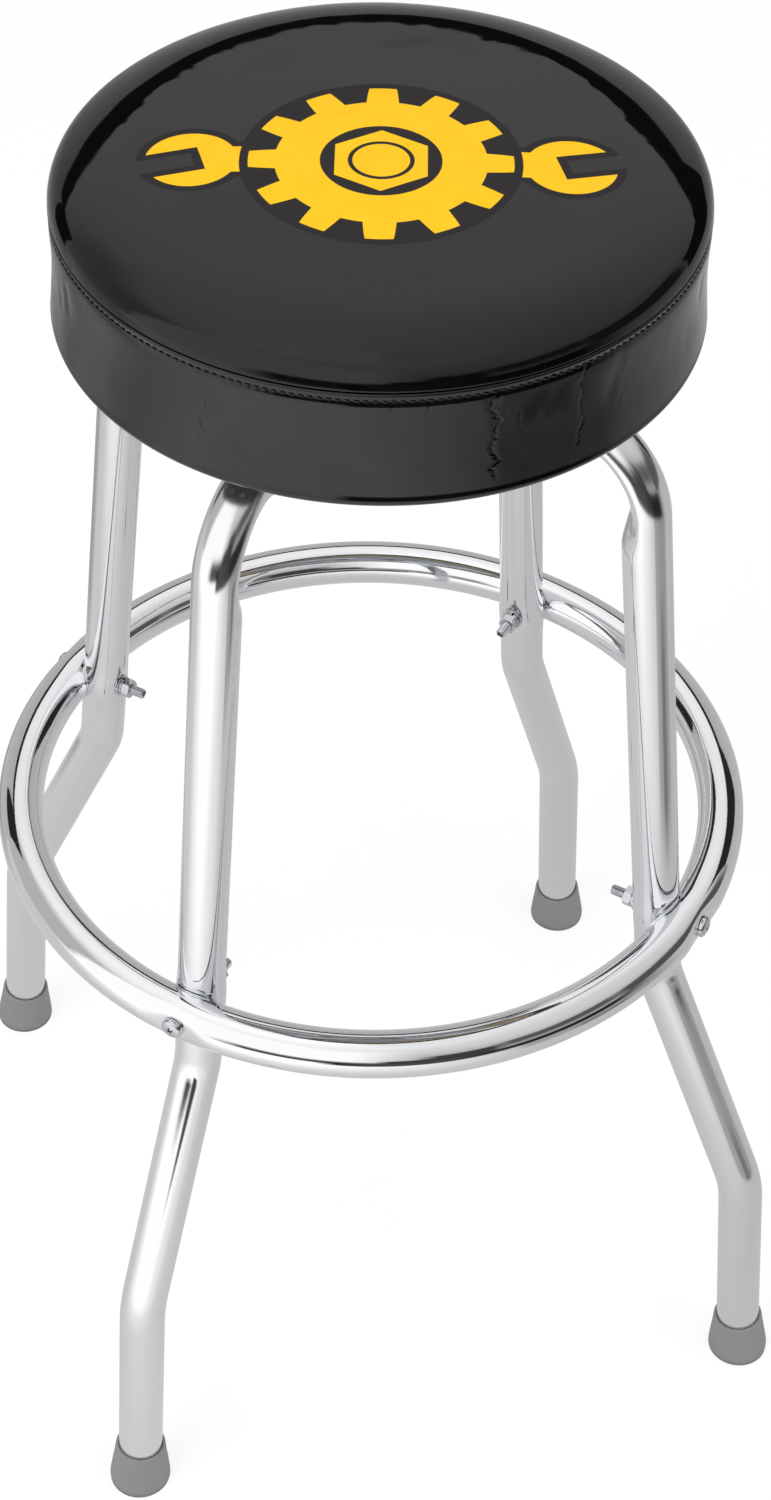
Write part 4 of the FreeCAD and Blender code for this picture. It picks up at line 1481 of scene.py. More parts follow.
    def foam(self) -> bpy.types.Object:
        """The foam under the vinyl: crowned, closed, flat only on the board and pressed in along the seam.

        Returns:
            The pad.
        """
        inside = self.vinyl + 0.15 * MM
        groove = self.crown.seam_radius - self.flange - 0.4 * MM
        seam = self.crown.seam_height
        floor = self.underside + self.vinyl + self.board
        outline = [(0.0, floor), (120.0 * MM, floor), (154.8 * MM, floor), (156.4 * MM, floor + 1.6 * MM)]
        outline += [(156.5 * MM, 715.0 * MM), (157.3 * MM, 736.0 * MM)]
        outline += [(groove, seam - 2.0 * MM), (groove, seam + 1.8 * MM)]
        outline += self.crown.edge(inside, 12.0, (7, 6))
        for reach in (90.0 * MM, 60.0 * MM, 30.0 * MM, 0.0):
            outline.append((reach, self.crown.dome_height(reach) - inside))
        pad = lathe("seat_foam_pad", outline, 96)
        roughen(pad, 12.0 * MM, -0.3 * MM, middle=0.0)
        smooth(pad, 50.0)
        return self.dresser.fit(pad, Foam(), Body.SEAT, "foam", "seat_foam")

    def build(self, frame: dict) -> None:
        """Build the seat.

        Args:
            frame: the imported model.
        """
        self.top()
        self.side()
        self.stitches()
        self.foam()
        self.dresser.dress(frame, "seat_board", Plywood())
        self.dresser.dress(frame, "seat_staples", WIRE)
        for node in ("seat_t_nuts", "seat_screws", "swivel_upper_plate"):
            self.dresser.dress(frame, node, ZINC)


@dataclass
class Swivel:
    """The lower plate, the rivet and the ball race under the seat."""

    dresser: Dresser

    def build(self, frame: dict) -> None:
        """Dress the swivel, whose shapes are those of the CAD.

        Args:
            frame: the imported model.
        """
        for node in ("swivel_lower_plate", "swivel_rivet", "swivel_ball_cage"):
            self.dresser.dress(frame, node, ZINC)
        self.dresser.dress(frame, "swivel_balls", BALL_STEEL)


# Legs

@dataclass
class Bend:
    """A corner in the axis of a leg, in the leg's own plane."""

    reach: float
    height: float
    radius: float = 0.0

    @property
    def place(self) -> Vector:
        """The corner as a point."""
        return Vector((self.reach, 0.0, self.height))


@dataclass
class Legs:
    """Four bent tubes, dented by the foot ring outside, a washer inside and the bending die at the top."""

    dresser: Dresser
    tube_radius: float = 12.7 * MM
    wall: float = 1.5 * MM
    sides: int = 48
    step: float = 4.0 * MM
    ring_radius: float = 197.5 * MM
    ring_height: float = 342.0 * MM
    press_reach: float = 30.0 * MM
    saddle_softness: float = 1.6 * MM
    swell: float = 0.085
    swell_reach: float = 13.0 * MM
    washer_dent: float = 1.8 * MM
    washer_flat: float = 7.4 * MM
    washer_slope: float = 1.15
    washer_softness: float = 0.8 * MM
    crimp: float = 5.2 * MM
    crimp_rise: tuple[float, float] = (12.0 * MM, 34.0 * MM)
    crimp_end: float = 86.0 * MM
    crimp_fade: float = 20.0 * MM
    crimp_slant: float = 0.35
    crimp_side: Point = (-0.25, 0.65)
    path: tuple[Bend, ...] = (
        Bend(34.0 * MM, 652.0 * MM),
        Bend(148.5 * MM, 652.0 * MM, 49.5 * MM),
        Bend(185.0 * MM, 295.0 * MM, 45.5 * MM),
        Bend(250.5 * MM, 148.0 * MM, 73.0 * MM),
        Bend(262.324 * MM, 8.0 * MM),
    )

    @property
    def upper_lean(self) -> float:
        """How far the upper run leans out for each unit of height."""
        top, kick = self.path[1], self.path[2]
        return (kick.reach - top.reach) / (top.height - kick.height)

    @property
    def reach_at_ring(self) -> float:
        """Distance of a leg's axis from the stool's axis, at the ring."""
        kick = self.path[2]
        return kick.reach - self.upper_lean * (self.ring_height - kick.height)

    @property
    def washer_bearing(self) -> float:
        """Distance of a washer's outer face from the stool's axis."""
        return self.reach_at_ring - self.tube_radius + self.washer_dent

    def tube(self) -> bpy.types.Object:
        """Extrude a circle along the straight runs and spin it round the bends.

        Returns:
            The tube's outside, open at both ends, on the plane of a leg at azimuth 0.
        """
        deselect()
        bpy.ops.mesh.primitive_circle_add(
            vertices=self.sides, radius=self.tube_radius, location=self.path[0].place,
            rotation=(0.0, math.pi / 2, 0.0),
        )
        leg = settled("leg_tube")
        here = self.path[0].place
        way = (self.path[1].place - here).normalized()
        with Bench(leg) as bench:
            bench.pick_all()
            for index in range(1, len(self.path)):
                corner = self.path[index]
                last = index == len(self.path) - 1
                onward = way if last else (self.path[index + 1].place - corner.place).normalized()
                turn = math.atan2(way.z, way.x) - math.atan2(onward.z, onward.x)
                cut_off = corner.radius * math.tan(abs(turn) / 2)
                run = (corner.place - here).length - cut_off
                count = max(1, round(run / self.step))
                for _ in range(count):
                    bpy.ops.mesh.extrude_region_move(TRANSFORM_OT_translate={"value": way * (run / count)})
                if last:
                    break
                start = here + way * run
                side = 1.0 if turn > 0 else -1.0
                centre = start + Vector((way.z, 0.0, -way.x)) * side * corner.radius
                bpy.ops.mesh.spin(
                    steps=max(6, round(abs(turn) * corner.radius / (self.step * 0.7))),
                    angle=-turn, center=centre, axis=(0.0, 1.0, 0.0),
                )
                here = corner.place + onward * cut_off
                way = onward
            bench.merge()
        return leg

    def pressed(self, place: Vector) -> Vector:
        """Where a point of the tube goes under the presses.

        Args:
            place: the point before.

        Returns:
            The point after.
        """
        moved = place.copy()
        up = place.z - self.ring_height
        if abs(up) >= self.press_reach:
            return moved
        axis = self.reach_at_ring - self.upper_lean * up
        if place.x > axis and abs(up) < self.tube_radius:
            inner = self.ring_radius - math.sqrt(self.tube_radius**2 - up**2)
            saddle = math.sqrt(inner**2 - place.y**2)
            moved.x = soft_min(place.x, saddle, self.saddle_softness)
        moved.y *= 1.0 + self.swell * math.exp(-(up / self.swell_reach) ** 2)
        if place.x < axis:
            off = math.hypot(place.y, up)
            seat = self.washer_bearing - max(0.0, off - self.washer_flat) / self.washer_slope
            moved.x = -soft_min(-moved.x, -seat, self.washer_softness)
        return moved

    def crimped(self, place: Vector) -> Vector:
        """Where a point of the tube goes under the bending die's edge, on the inner side of the top bend.

        Args:
            place: the point before.

        Returns:
            The point after.
        """
        top = self.path[1]
        way = Vector((self.upper_lean, 0.0, -1.0)).normalized()
        turn = math.pi / 2 - math.atan(self.upper_lean)
        cut_off = top.radius * math.tan(turn / 2)
        centre = Vector((top.reach - cut_off, 0.0, top.height - top.radius))
        end = top.place + way * cut_off
        past = (place - end).dot(way)
        if past > 0.0:
            inwards = Vector((way.z, 0.0, -way.x))
            depth_in = (place - end).dot(inwards)
            travel = top.radius * turn + past
        else:
            spoke = Vector((place.x - centre.x, 0.0, place.z - centre.z))
            inwards = -spoke.normalized()
            depth_in = top.radius - spoke.length
            travel = top.radius * max(0.0, math.atan2(spoke.x, spoke.z))
            if place.x < centre.x:
                return place
        edge = self.crimp_end + self.crimp_slant * abs(place.y)
        depth = self.crimp * smooth_step(travel, *self.crimp_rise)
        depth *= min(1.0, max(0.0, (edge - travel) / self.crimp_fade))
        depth *= smooth_step(depth_in / self.tube_radius, *self.crimp_side)
        axis = place - inwards * depth_in
        axis.y = 0.0
        return place + (axis - place) * (depth / self.tube_radius)

    def build(self) -> None:
        """Build four legs."""
        leg = self.tube()
        reshape(leg, lambda place: self.crimped(self.pressed(place)))
        modify(leg, "SOLIDIFY", thickness=self.wall, offset=-1.0)
        smooth(leg, 50.0)
        for side in Leg:
            copy = copied(leg, f"leg_tube_{side.label}", side.azimuth)
            self.dresser.fit(copy, Chrome(), Body.BASE, "chrome_tube", f"leg_{side.label}")
        bpy.data.objects.remove(leg)


@dataclass
class FootRing:
    """The ring of tube round the legs, with a broad dimple at each screw."""

    dresser: Dresser
    legs: Legs
    dent: float = 3.0 * MM
    dent_radius: float = 60.0 * MM
    dent_softness: float = 2.6 * MM
    dent_span: float = math.radians(15.0)
    swell: float = 0.05
    swell_reach: float = 14.0 * MM

    @property
    def dent_bottom(self) -> float:
        """Distance of a dimple's floor from the stool's axis."""
        return self.legs.ring_radius + self.legs.tube_radius - self.dent

    def dimpled(self, place: Vector) -> Vector:
        """Where a point of the ring goes under the four presses.

        Args:
            place: the point before.

        Returns:
            The point after.
        """
        moved = place.copy()
        azimuth = math.atan2(place.y, place.x)
        for leg in Leg:
            off = (azimuth - leg.azimuth + math.pi) % WHOLE_TURN - math.pi
            if abs(off) > self.dent_span:
                continue
            outwards = Vector((math.cos(leg.azimuth), math.sin(leg.azimuth), 0.0))
            aside = Vector((-outwards.y, outwards.x, 0.0))
            reach = place.dot(outwards)
            beside = place.dot(aside)
            tool = self.dent_bottom + self.dent_radius - math.sqrt(self.dent_radius**2 - beside**2)
            if reach > self.legs.ring_radius:
                moved += outwards * (soft_min(reach, tool, self.dent_softness) - reach)
            up = place.z - self.legs.ring_height
            moved.z += up * self.swell * math.exp(-(beside / self.swell_reach) ** 2)
        return moved

    def build(self) -> None:
        """Build the ring."""
        deselect()
        bpy.ops.mesh.primitive_torus_add(
            major_segments=480, minor_segments=48, major_radius=self.legs.ring_radius,
            minor_radius=self.legs.tube_radius, location=(0.0, 0.0, self.legs.ring_height),
        )
        ring = settled("foot_ring_tube")
        reshape(ring, self.dimpled)
        smooth(ring, 60.0)
        self.dresser.fit(ring, Chrome(), Body.BASE, "chrome_tube", "foot_ring")


# Fasteners of the ring

@dataclass
class RingFasteners:
    """Pan-head screws through the ring and the legs, with flat washers, split lock washers and nuts."""

    dresser: Dresser
    legs: Legs
    ring: FootRing
    screw_radius: float = 3.0 * MM
    screw_length: float = 55.0 * MM
    pitch: float = 1.0 * MM
    head_radius: float = 6.0 * MM
    head_height: float = 3.9 * MM
    recess_length: float = 6.4 * MM
    recess_width: float = 1.25 * MM
    recess_depth: float = 2.6 * MM
    rim_clearance: float = 0.0023 * MM
    thread_turns: int = 24
    tip_taper: float = 0.28
    tip_length: float = 1.6 * MM
    washer_radius: float = 6.2 * MM
    washer_thickness: float = 1.4 * MM
    lock_radius: float = 5.2 * MM
    lock_thickness: float = 1.6 * MM
    lock_rise: float = 0.25 * MM
    lock_arc: float = math.radians(347.0)
    nut_flats: float = 10.0 * MM
    nut_height: float = 5.0 * MM
    nut_chamfer: float = 0.75 * MM
    countersink: float = 4.6 * MM
    turns: tuple[float, ...] = (20.0, 65.0, 40.0, 5.0)

    @property
    def head_bearing(self) -> float:
        """Distance of a head's underside from the stool's axis: its rim just clears the dimple's slopes.

        Returns:
            The distance.
        """
        curve = self.ring.dent_radius
        slope = curve - math.sqrt(curve**2 - self.head_radius**2)
        return self.ring.dent_bottom + slope + self.rim_clearance

    @property
    def lock_bearing(self) -> float:
        """Distance of a lock washer's outer face from the stool's axis."""
        return self.legs.washer_bearing - self.washer_thickness

    @property
    def nut_bearing(self) -> float:
        """Distance of a nut's outer face from the stool's axis."""
        return self.lock_bearing - self.lock_thickness

    def recess_arm(self, turn: float) -> bpy.types.Object:
        """One arm of the cross recess: a blade that narrows downwards.

        Args:
            turn: the arm's angle about the screw's axis.

        Returns:
            The blade.
        """
        blade = 4.4 * MM
        deselect()
        bpy.ops.mesh.primitive_cube_add(size=1.0)
        bpy.context.object.scale = (self.recess_length, self.recess_width, blade)
        bpy.context.object.location = (0.0, 0.0, self.head_height - self.recess_depth + blade / 2)
        arm = settled("recess_arm")
        with Bench(arm, Pick.FACES) as bench:
            bench.pick(lambda _, normal: normal.z < -0.9)
            bpy.ops.transform.resize(value=(0.38, 0.55, 1.0))
        arm.rotation_euler = (0.0, 0.0, turn)
        focus(arm)
        return settled("recess_arm")

    def head(self) -> bpy.types.Object:
        """The pan head with its cross recess.

        Returns:
            The head, upright on the origin.
        """
        outline = [(0.0, 0.0), (5.75 * MM, 0.0)]
        outline += arc((5.7 * MM, 0.3 * MM), 0.3 * MM, -80.0, 0.0, 3)
        outline += arc((4.1 * MM, 1.35 * MM), 1.9 * MM, 2.0, 62.0, 7)
        outline += [(3.6 * MM, 3.45 * MM), (2.0 * MM, 3.78 * MM), (0.0, self.head_height)]
        head = lathe("ring_screw", outline, 48)
        for turn in (0.0, math.pi / 2):
            boolean(head, self.recess_arm(turn), "DIFFERENCE")
        return head

    def thread(self) -> bpy.types.Object:
        """The threaded end, wound by a screw modifier, with a chamfered tip.

        Returns:
            The threaded end, below the origin.
        """
        crest = self.screw_radius
        core = crest - 0.55 * self.pitch
        deselect()
        bpy.ops.mesh.primitive_plane_add(size=MM)
        thread = settled("ring_screw_thread")
        outline = [(core, 0.0), (crest, 0.38), (crest, 0.52), (core, 0.90), (core, 1.0)]
        with Bench(thread):
            bpy.ops.mesh.merge(type="CENTER")
            bpy.ops.transform.translate(value=(core, 0.0, -self.screw_length))
            for (reach, share), (next_reach, next_share) in zip(outline, outline[1:]):
                step = ((next_reach - reach), 0.0, (next_share - share) * self.pitch)
                bpy.ops.mesh.extrude_region_move(TRANSFORM_OT_translate={"value": step})
        modify(
            thread, "SCREW", axis="Z", angle=WHOLE_TURN, screw_offset=self.pitch,
            iterations=self.thread_turns, steps=20, render_steps=20,
            use_merge_vertices=True, merge_threshold=0.001 * MM,
        )
        with Bench(thread, Pick.EDGES) as bench:
            bench.pick_all()
            bpy.ops.mesh.region_to_loop()
            bpy.ops.mesh.fill()
            bench.merge()
        tip = -self.screw_length

        def chamfered(place: Vector) -> Vector:
            """Where a point goes, drawn in towards the tip."""
            share = 1.0 - self.tip_taper * (1.0 - smooth_step(place.z, tip, tip + self.tip_length))
            return Vector((place.x * share, place.y * share, place.z))

        reshape(thread, chamfered)
        return thread

    def shank(self) -> bpy.types.Object:
        """The plain shank inside the tubes.

        Returns:
            The shank, below the origin.
        """
        reach = self.screw_radius - 0.05 * MM
        end = 20.0 * MM - self.screw_length
        outline = [
            (0.0, end), (reach - 0.4 * MM, end), (reach, end + 0.5 * MM), (reach, 0.2 * MM), (0.0, 0.2 * MM),
        ]
        return lathe("ring_screw_shank", outline, 32)

    def screws(self) -> None:
        """Four screws, each turned by hand to its own angle."""
        screw = joined("ring_screw", [self.head(), self.thread(), self.shank()])
        smooth(screw, 32.0)
        copies = []
        for leg, turn in zip(Leg, self.turns):
            one = copied(screw, f"ring_screw_{leg.label}", math.radians(turn))
            one = laid_along_x(one, self.head_bearing, self.legs.ring_height, outwards=True)
            one.rotation_euler = (0.0, 0.0, leg.azimuth)
            focus(one)
            copies.append(settled(one.name))
        bpy.data.objects.remove(screw)
        screws = joined("ring_pan_screws", copies)
        self.dresser.fit(screws, BRIGHT_STEEL, Body.BASE, "bright_steel", "ring_screws")

    def washers(self) -> None:
        """Flat washers, stamped: rolled over on one edge and sharp on the other."""
        hole = self.screw_radius + 0.2 * MM
        thick = self.washer_thickness
        outer = self.washer_radius
        outline = [
            (hole + 0.1 * MM, 0.0), (outer - 0.35 * MM, 0.0), (outer - 0.1 * MM, 0.1 * MM),
            (outer, 0.35 * MM), (outer, thick - 0.05 * MM), (outer - 0.05 * MM, thick),
            (hole, thick), (hole, 0.1 * MM), (hole + 0.1 * MM, 0.0),
        ]
        washer = lathe("ring_washer", outline, 48)
        smooth(washer, 40.0)
        laid_along_x(washer, self.legs.washer_bearing, self.legs.ring_height, outwards=False)
        washers = four_of(washer, "ring_flat_washers")
        self.dresser.fit(washers, BRIGHT_STEEL, Body.BASE, "bright_steel", "ring_washers")

    def lock_washers(self) -> None:
        """Split spring washers: a square wire wound through nearly a turn, its ends a little apart."""
        hole = self.screw_radius + 0.15 * MM
        height = self.lock_thickness - self.lock_rise
        deselect()
        middle = (hole + self.lock_radius) / 2
        bpy.ops.mesh.primitive_plane_add(
            size=1.0, location=(middle, 0.0, height / 2), rotation=(math.pi / 2, 0.0, 0.0)
        )
        bpy.context.object.scale = (self.lock_radius - hole, height, 1.0)
        lock = settled("ring_lock_washer")
        with Bench(lock) as bench:
            bench.pick_all()
            bpy.ops.mesh.bevel(offset=0.15 * MM, segments=2, affect="VERTICES")
        modify(
            lock, "SCREW", axis="Z", angle=self.lock_arc, screw_offset=self.lock_rise, iterations=1,
            steps=44, render_steps=44, use_merge_vertices=False, use_smooth_shade=True,
        )
        with Bench(lock, Pick.EDGES) as bench:
            bench.merge()
            bpy.ops.mesh.select_all(action="DESELECT")
            bpy.ops.mesh.select_non_manifold()
            bpy.ops.mesh.edge_face_add()
            bench.merge()
        smooth(lock, 40.0)
        laid_along_x(lock, self.lock_bearing, self.legs.ring_height, outwards=False)
        locks = four_of(lock, "ring_split_washers")
        self.dresser.fit(locks, BRIGHT_STEEL, Body.BASE, "bright_steel", "ring_lock_washers")

    def nuts(self) -> None:
        """Hexagon nuts, chamfered on both faces."""
        height = self.nut_height
        corner = self.nut_flats / 2 / math.cos(math.pi / 6)
        deselect()
        bpy.ops.mesh.primitive_cylinder_add(
            vertices=6, radius=corner, depth=height, location=(0.0, 0.0, height / 2)
        )
        nut = settled("ring_nut")
        across = self.nut_flats / 2
        barrel = lathe("nut_barrel", [
            (0.0, -0.01 * MM), (across - 0.15 * MM, -0.01 * MM), (corner + 0.2 * MM, self.nut_chamfer),
            (corner + 0.2 * MM, height - self.nut_chamfer), (across - 0.15 * MM, height + 0.01 * MM),
            (0.0, height + 0.01 * MM),
        ], 60)
        boolean(nut, barrel, "INTERSECT")
        hole = self.screw_radius - 0.1 * MM
        bore = lathe("nut_bore", [
            (0.0, -1.0 * MM), (self.countersink, -1.0 * MM), (hole, 0.6 * MM), (hole, height - 0.6 * MM),
            (self.countersink, height + 1.0 * MM), (0.0, height + 1.0 * MM),
        ], 36)
        boolean(nut, bore, "DIFFERENCE")
        smooth(nut, 25.0)
        laid_along_x(nut, self.nut_bearing, self.legs.ring_height, outwards=False)
        nuts = four_of(nut, "ring_hexagon_nuts")
        self.dresser.fit(nuts, BRIGHT_STEEL, Body.BASE, "bright_steel", "ring_nuts")

    def build(self) -> None:
        """Build the ring's fasteners."""
        self.screws()
        self.washers()
        self.lock_washers()
        self.nuts()


@dataclass
class Feet:
    """Rubber tips pushed onto the legs, with a steel disc in each."""

    dresser: Dresser
    base_radius: float = 17.5 * MM
    rim_radius: float = 14.4 * MM
    height: float = 28.5 * MM
    bore: float = 12.75 * MM
    disc_seat: float = 6.0 * MM
    foot_reach: float = 263.0 * MM
    # Steps across the sole, as (inset, rise) in millimetres
    sole_steps: tuple[Point, ...] = (
        (2.2, 0.0), (0.5, 0.9), (3.0, 0.0), (0.5, -0.9), (2.0, 0.0), (0.5, 0.9),
    )
    lean: float = math.atan(12.5 / 148.0)

    def tip(self) -> bpy.types.Object:
        """One tip, on the leg's plane: turned, leaned, cut flat on the floor and hollowed under its sole.

        Returns:
            The tip, on the plane of a leg at azimuth 0.
        """
        base, rim, bore, top = self.base_radius, self.rim_radius, self.bore, self.height
        outline = [
            (0.0, -3.0 * MM), (base - 0.5 * MM, -3.0 * MM), (base - 0.15 * MM, 0.2 * MM),
            (base, 1.2 * MM), (base + 0.05 * MM, 2.6 * MM), (base - 0.10 * MM, 4.4 * MM),
            (base - 0.55 * MM, 8.0 * MM), (16.2 * MM, 14.0 * MM), (15.35 * MM, 20.0 * MM),
            (rim + 0.25 * MM, 26.2 * MM),
        ]
        outline += arc((rim - 0.75 * MM, top - 0.85 * MM), 0.85 * MM, 0.0, 90.0, 5)
        outline += [(bore + 0.25 * MM, top), (bore, top - 0.4 * MM)]
        outline += [(bore, self.disc_seat), (0.0, self.disc_seat)]
        tip = lathe("foot_tip", outline, 64)
        tip.rotation_euler = (0.0, -self.lean, 0.0)
        tip.location = (self.foot_reach, 0.0, 0.0)
        focus(tip)
        settled("foot_tip")
        with Bench(tip, Pick.FACES) as bench:
            bench.pick_all()
            bpy.ops.mesh.bisect(
                plane_co=(0.0, 0.0, 0.0), plane_no=(0.0, 0.0, 1.0), use_fill=True, clear_inner=True,
                threshold=0.001 * MM,
            )
            bench.pick(lambda place, normal: normal.z < -0.95 and place.z < 0.01 * MM)
            for inset, lift in self.sole_steps:
                bpy.ops.mesh.inset(thickness=inset * MM)
                if lift:
                    bpy.ops.transform.translate(value=(0.0, 0.0, lift * MM))
            bench.merge()
        smooth(tip, 38.0)
        return tip

    def build(self, frame: dict) -> None:
        """Build four tips and dress the discs in them.

        Args:
            frame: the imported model.
        """
        tip = self.tip()
        for side in Leg:
            copy = copied(tip, f"rubber_tip_{side.label}", side.azimuth)
            self.dresser.fit(copy, Rubber(), Body.BASE, "grey_rubber", f"foot_tip_{side.label}")
        bpy.data.objects.remove(tip)
        self.dresser.dress(frame, "foot_tip_discs", ZINC)


# Studio

@dataclass(frozen=True)
class Patch:
    """A dimmer patch of painted shade in the floor's glow, whose edges are each (place, softness).

    Left and right are in degrees round from the camera, and near and far in metres from the stool's axis. The
    loss is the share of the light that the patch takes away.
    """

    left: Point
    right: Point
    near: Point
    loss: float
    far: Point = (30.0, 1.0)

    def kept(self, side: Signal, away: Signal) -> Signal:
        """The share of its light that the floor keeps.

        Args:
            side: degrees round from the camera.
            away: metres from the stool's axis.

        Returns:
            The share, from 0 to 1.
        """
        inside = side.above(*self.left) * side.below(*self.right)
        inside = inside * away.above(*self.near) * away.below(*self.far)
        return (inside * self.loss).inverse()


@dataclass(frozen=True)
class Paper(Finish):
    """The floor: white background paper with the stool's shadow.

    What polished surfaces mirror in it is painted in as a glow, the light and shade of a real room's floor:
    white under the lamps in front and on the left, grey behind the stool, dim on the right, and dark where
    the paper ends. Edges are (place, softness) in metres across or back from the stool's axis.
    """

    title: str = "background_paper_matt"
    bounce: str = "#F2F2F2"
    shadow: str = "#848484"
    glow: float = 0.80
    white: float = 1.18
    middling: float = 0.66
    grey: float = 0.65
    dim: float = 0.53
    slant: float = 0.5
    lit_edge: Point = (-0.25, 0.9)
    loss_edge: Point = (0.55, 0.8)
    loss: float = 0.20
    shade_edge: Point = (0.0, 1.2)
    front_edge: Point = (-0.40, 0.55)
    cloud_size: float = 350.0
    clouds: Point = (0.90, 1.10)
    patches: tuple[Patch, ...] = (
        Patch((38.0, 4.0), (82.0, 10.0), (0.72, 0.10), 0.36),
        Patch((53.0, 3.0), (68.0, 3.0), (0.72, 0.10), 0.406, (1.02, 0.12)),
        Patch((-166.0, 16.0), (-112.0, 20.0), (0.66, 0.10), 0.40, (1.25, 0.20)),
        Patch((-10.0, 6.0), (72.0, 12.0), (1.62, 0.25), 0.94),
        Patch((-38.0, 15.0), (-4.0, 6.0), (3.0, 0.8), 0.94),
    )

    def paint(self, shader: Shader) -> Signal:
        """White paper, and the glow of painted light and shade that the chrome sees in it.

        Args:
            shader: the material's node tree.

        Returns:
            The surface.
        """
        place = shader.place()
        across, back, _ = shader.from_camera(place)
        slant = across + back * self.slant
        lit = slant.below(*self.lit_edge).between(self.middling, self.white)
        lit = lit - slant.above(*self.loss_edge) * self.loss
        shade = across.below(*self.shade_edge).between(self.dim, self.grey)
        front = back.below(*self.front_edge)
        clouds = shader.noise(place, self.cloud_size).between(*self.clouds)
        seen = (lit * front + shade * front.inverse()) * clouds
        side = across.round_camera(back)
        away = across.distance(back)
        for patch in self.patches:
            seen = seen * patch.kept(side, away)
        # Painted reflection: for glossy rays the floor glows with painted light and shade, uneven in cloudy
        # patches and dimmer in the patches
        mirrored = shader.add("ShaderNodeEmission", {"Color": linear("#FFFFFF"), "Strength": seen})
        matt = shader.add("ShaderNodeBsdfDiffuse", {"Color": linear(self.bounce)})
        plain = shader.add("ShaderNodeEmission", {"Color": linear("#FFFFFF"), "Strength": self.glow})
        shaded = shader.add("ShaderNodeBsdfDiffuse", {"Color": linear(self.shadow)})
        shown = shader.add("ShaderNodeAddShader", {0: plain, 1: shaded})
        seen_by = shader.add("ShaderNodeLightPath", {}, out="Is Camera Ray")
        glossy = seen_by.beside("Is Glossy Ray").do("MAXIMUM", seen_by.beside("Is Transmission Ray"))
        indirect = shader.add("ShaderNodeMixShader", {0: glossy, 1: matt, 2: mirrored})
        return shader.add("ShaderNodeMixShader", {0: seen_by, 1: indirect, 2: shown})


@dataclass(frozen=True)
class Screen(Finish):
    """The screen behind the stool: grey cloth in a black frame, with a post at each end, painted in as a
    glow.

    Its upper edge sags in the middle and falls to both sides. Heights are in metres, and the rest is in
    degrees to each side of the line from the camera through the stool.
    """

    title: str = "grey_cloth_black_frame_glow"
    top: float = 1.463
    flat_half: float = 12.0
    fall: float = 0.0035
    bow: float = 0.00004
    half: float = 64.0
    shift: float = 2.0
    rounding: float = 0.05
    sag: float = 0.08
    sag_edge: Point = (9.0, 14.0)
    bar_bottom: float = 1.175
    post_bottom: float = 0.60
    left_post: Point = (-42.0, 20.0)
    right_post: Point = (51.0, 6.0)

    def paint(self, shader: Shader) -> Signal:
        """A glow of painted reflection: grey and dimmer upwards, black at the edge and clear outside it.

        Args:
            shader: the material's node tree.

        Returns:
            The surface.
        """
        across, back, up = shader.from_camera(shader.place())
        side = across.round_camera(back).do("WRAP", 360.0, 0.0) - 180.0
        past = (side.size() - self.flat_half).do("MAXIMUM", 0.0)
        outside = ((side + self.shift).size() - self.half).do("MAXIMUM", 0.0)
        sag = side.size().below(*self.sag_edge) * self.sag
        edge = past * (past * -self.bow - self.fall) - outside * outside * self.rounding - sag + self.top
        posts = side.below(*self.left_post).do("MAXIMUM", side.above(*self.right_post))
        black = (up + sag - posts.between(self.bar_bottom, self.post_bottom)).above(0.0, 0.02)
        # Painted reflection: the cloth's grey, dimmer upwards, and its black frame glow rather than being lit
        grey = up.do("MULTIPLY_ADD", -0.06, 0.50)
        seen = black.inverse() * grey + 0.02
        cloth = shader.add("ShaderNodeEmission", {"Color": linear("#FFFFFF"), "Strength": seen})
        clear = shader.add("ShaderNodeBsdfTransparent", {})
        return shader.add("ShaderNodeMixShader", {0: (edge - up).above(0.0, 0.01), 1: clear, 2: cloth})


@dataclass(frozen=True)
class Panel:
    """One part of the room as the stool mirrors it, in degrees round from the camera and over the floor."""

    left: float
    right: float
    low: float
    high: float
    strength: float
    softness: float

    def over(self, seen: Signal, side: Signal, height: Signal) -> Signal:
        """The room with this part in front of what was there.

        Args:
            seen: the room without this part.
            side: degrees round from the camera.
            height: degrees over the floor.

        Returns:
            The room's brightness.
        """
        shown = side.above(self.left, self.softness) * side.below(self.right, self.softness)
        shown = shown * height.above(self.low, self.softness) * height.below(self.high, self.softness)
        return seen * shown.inverse() + shown * self.strength


@dataclass(frozen=True)
class Softbox:
    """A large soft lamp: its place from the camera's side and its width in metres, and its power in watts."""

    name: str
    across: float
    back: float
    height: float
    width: float
    power: float


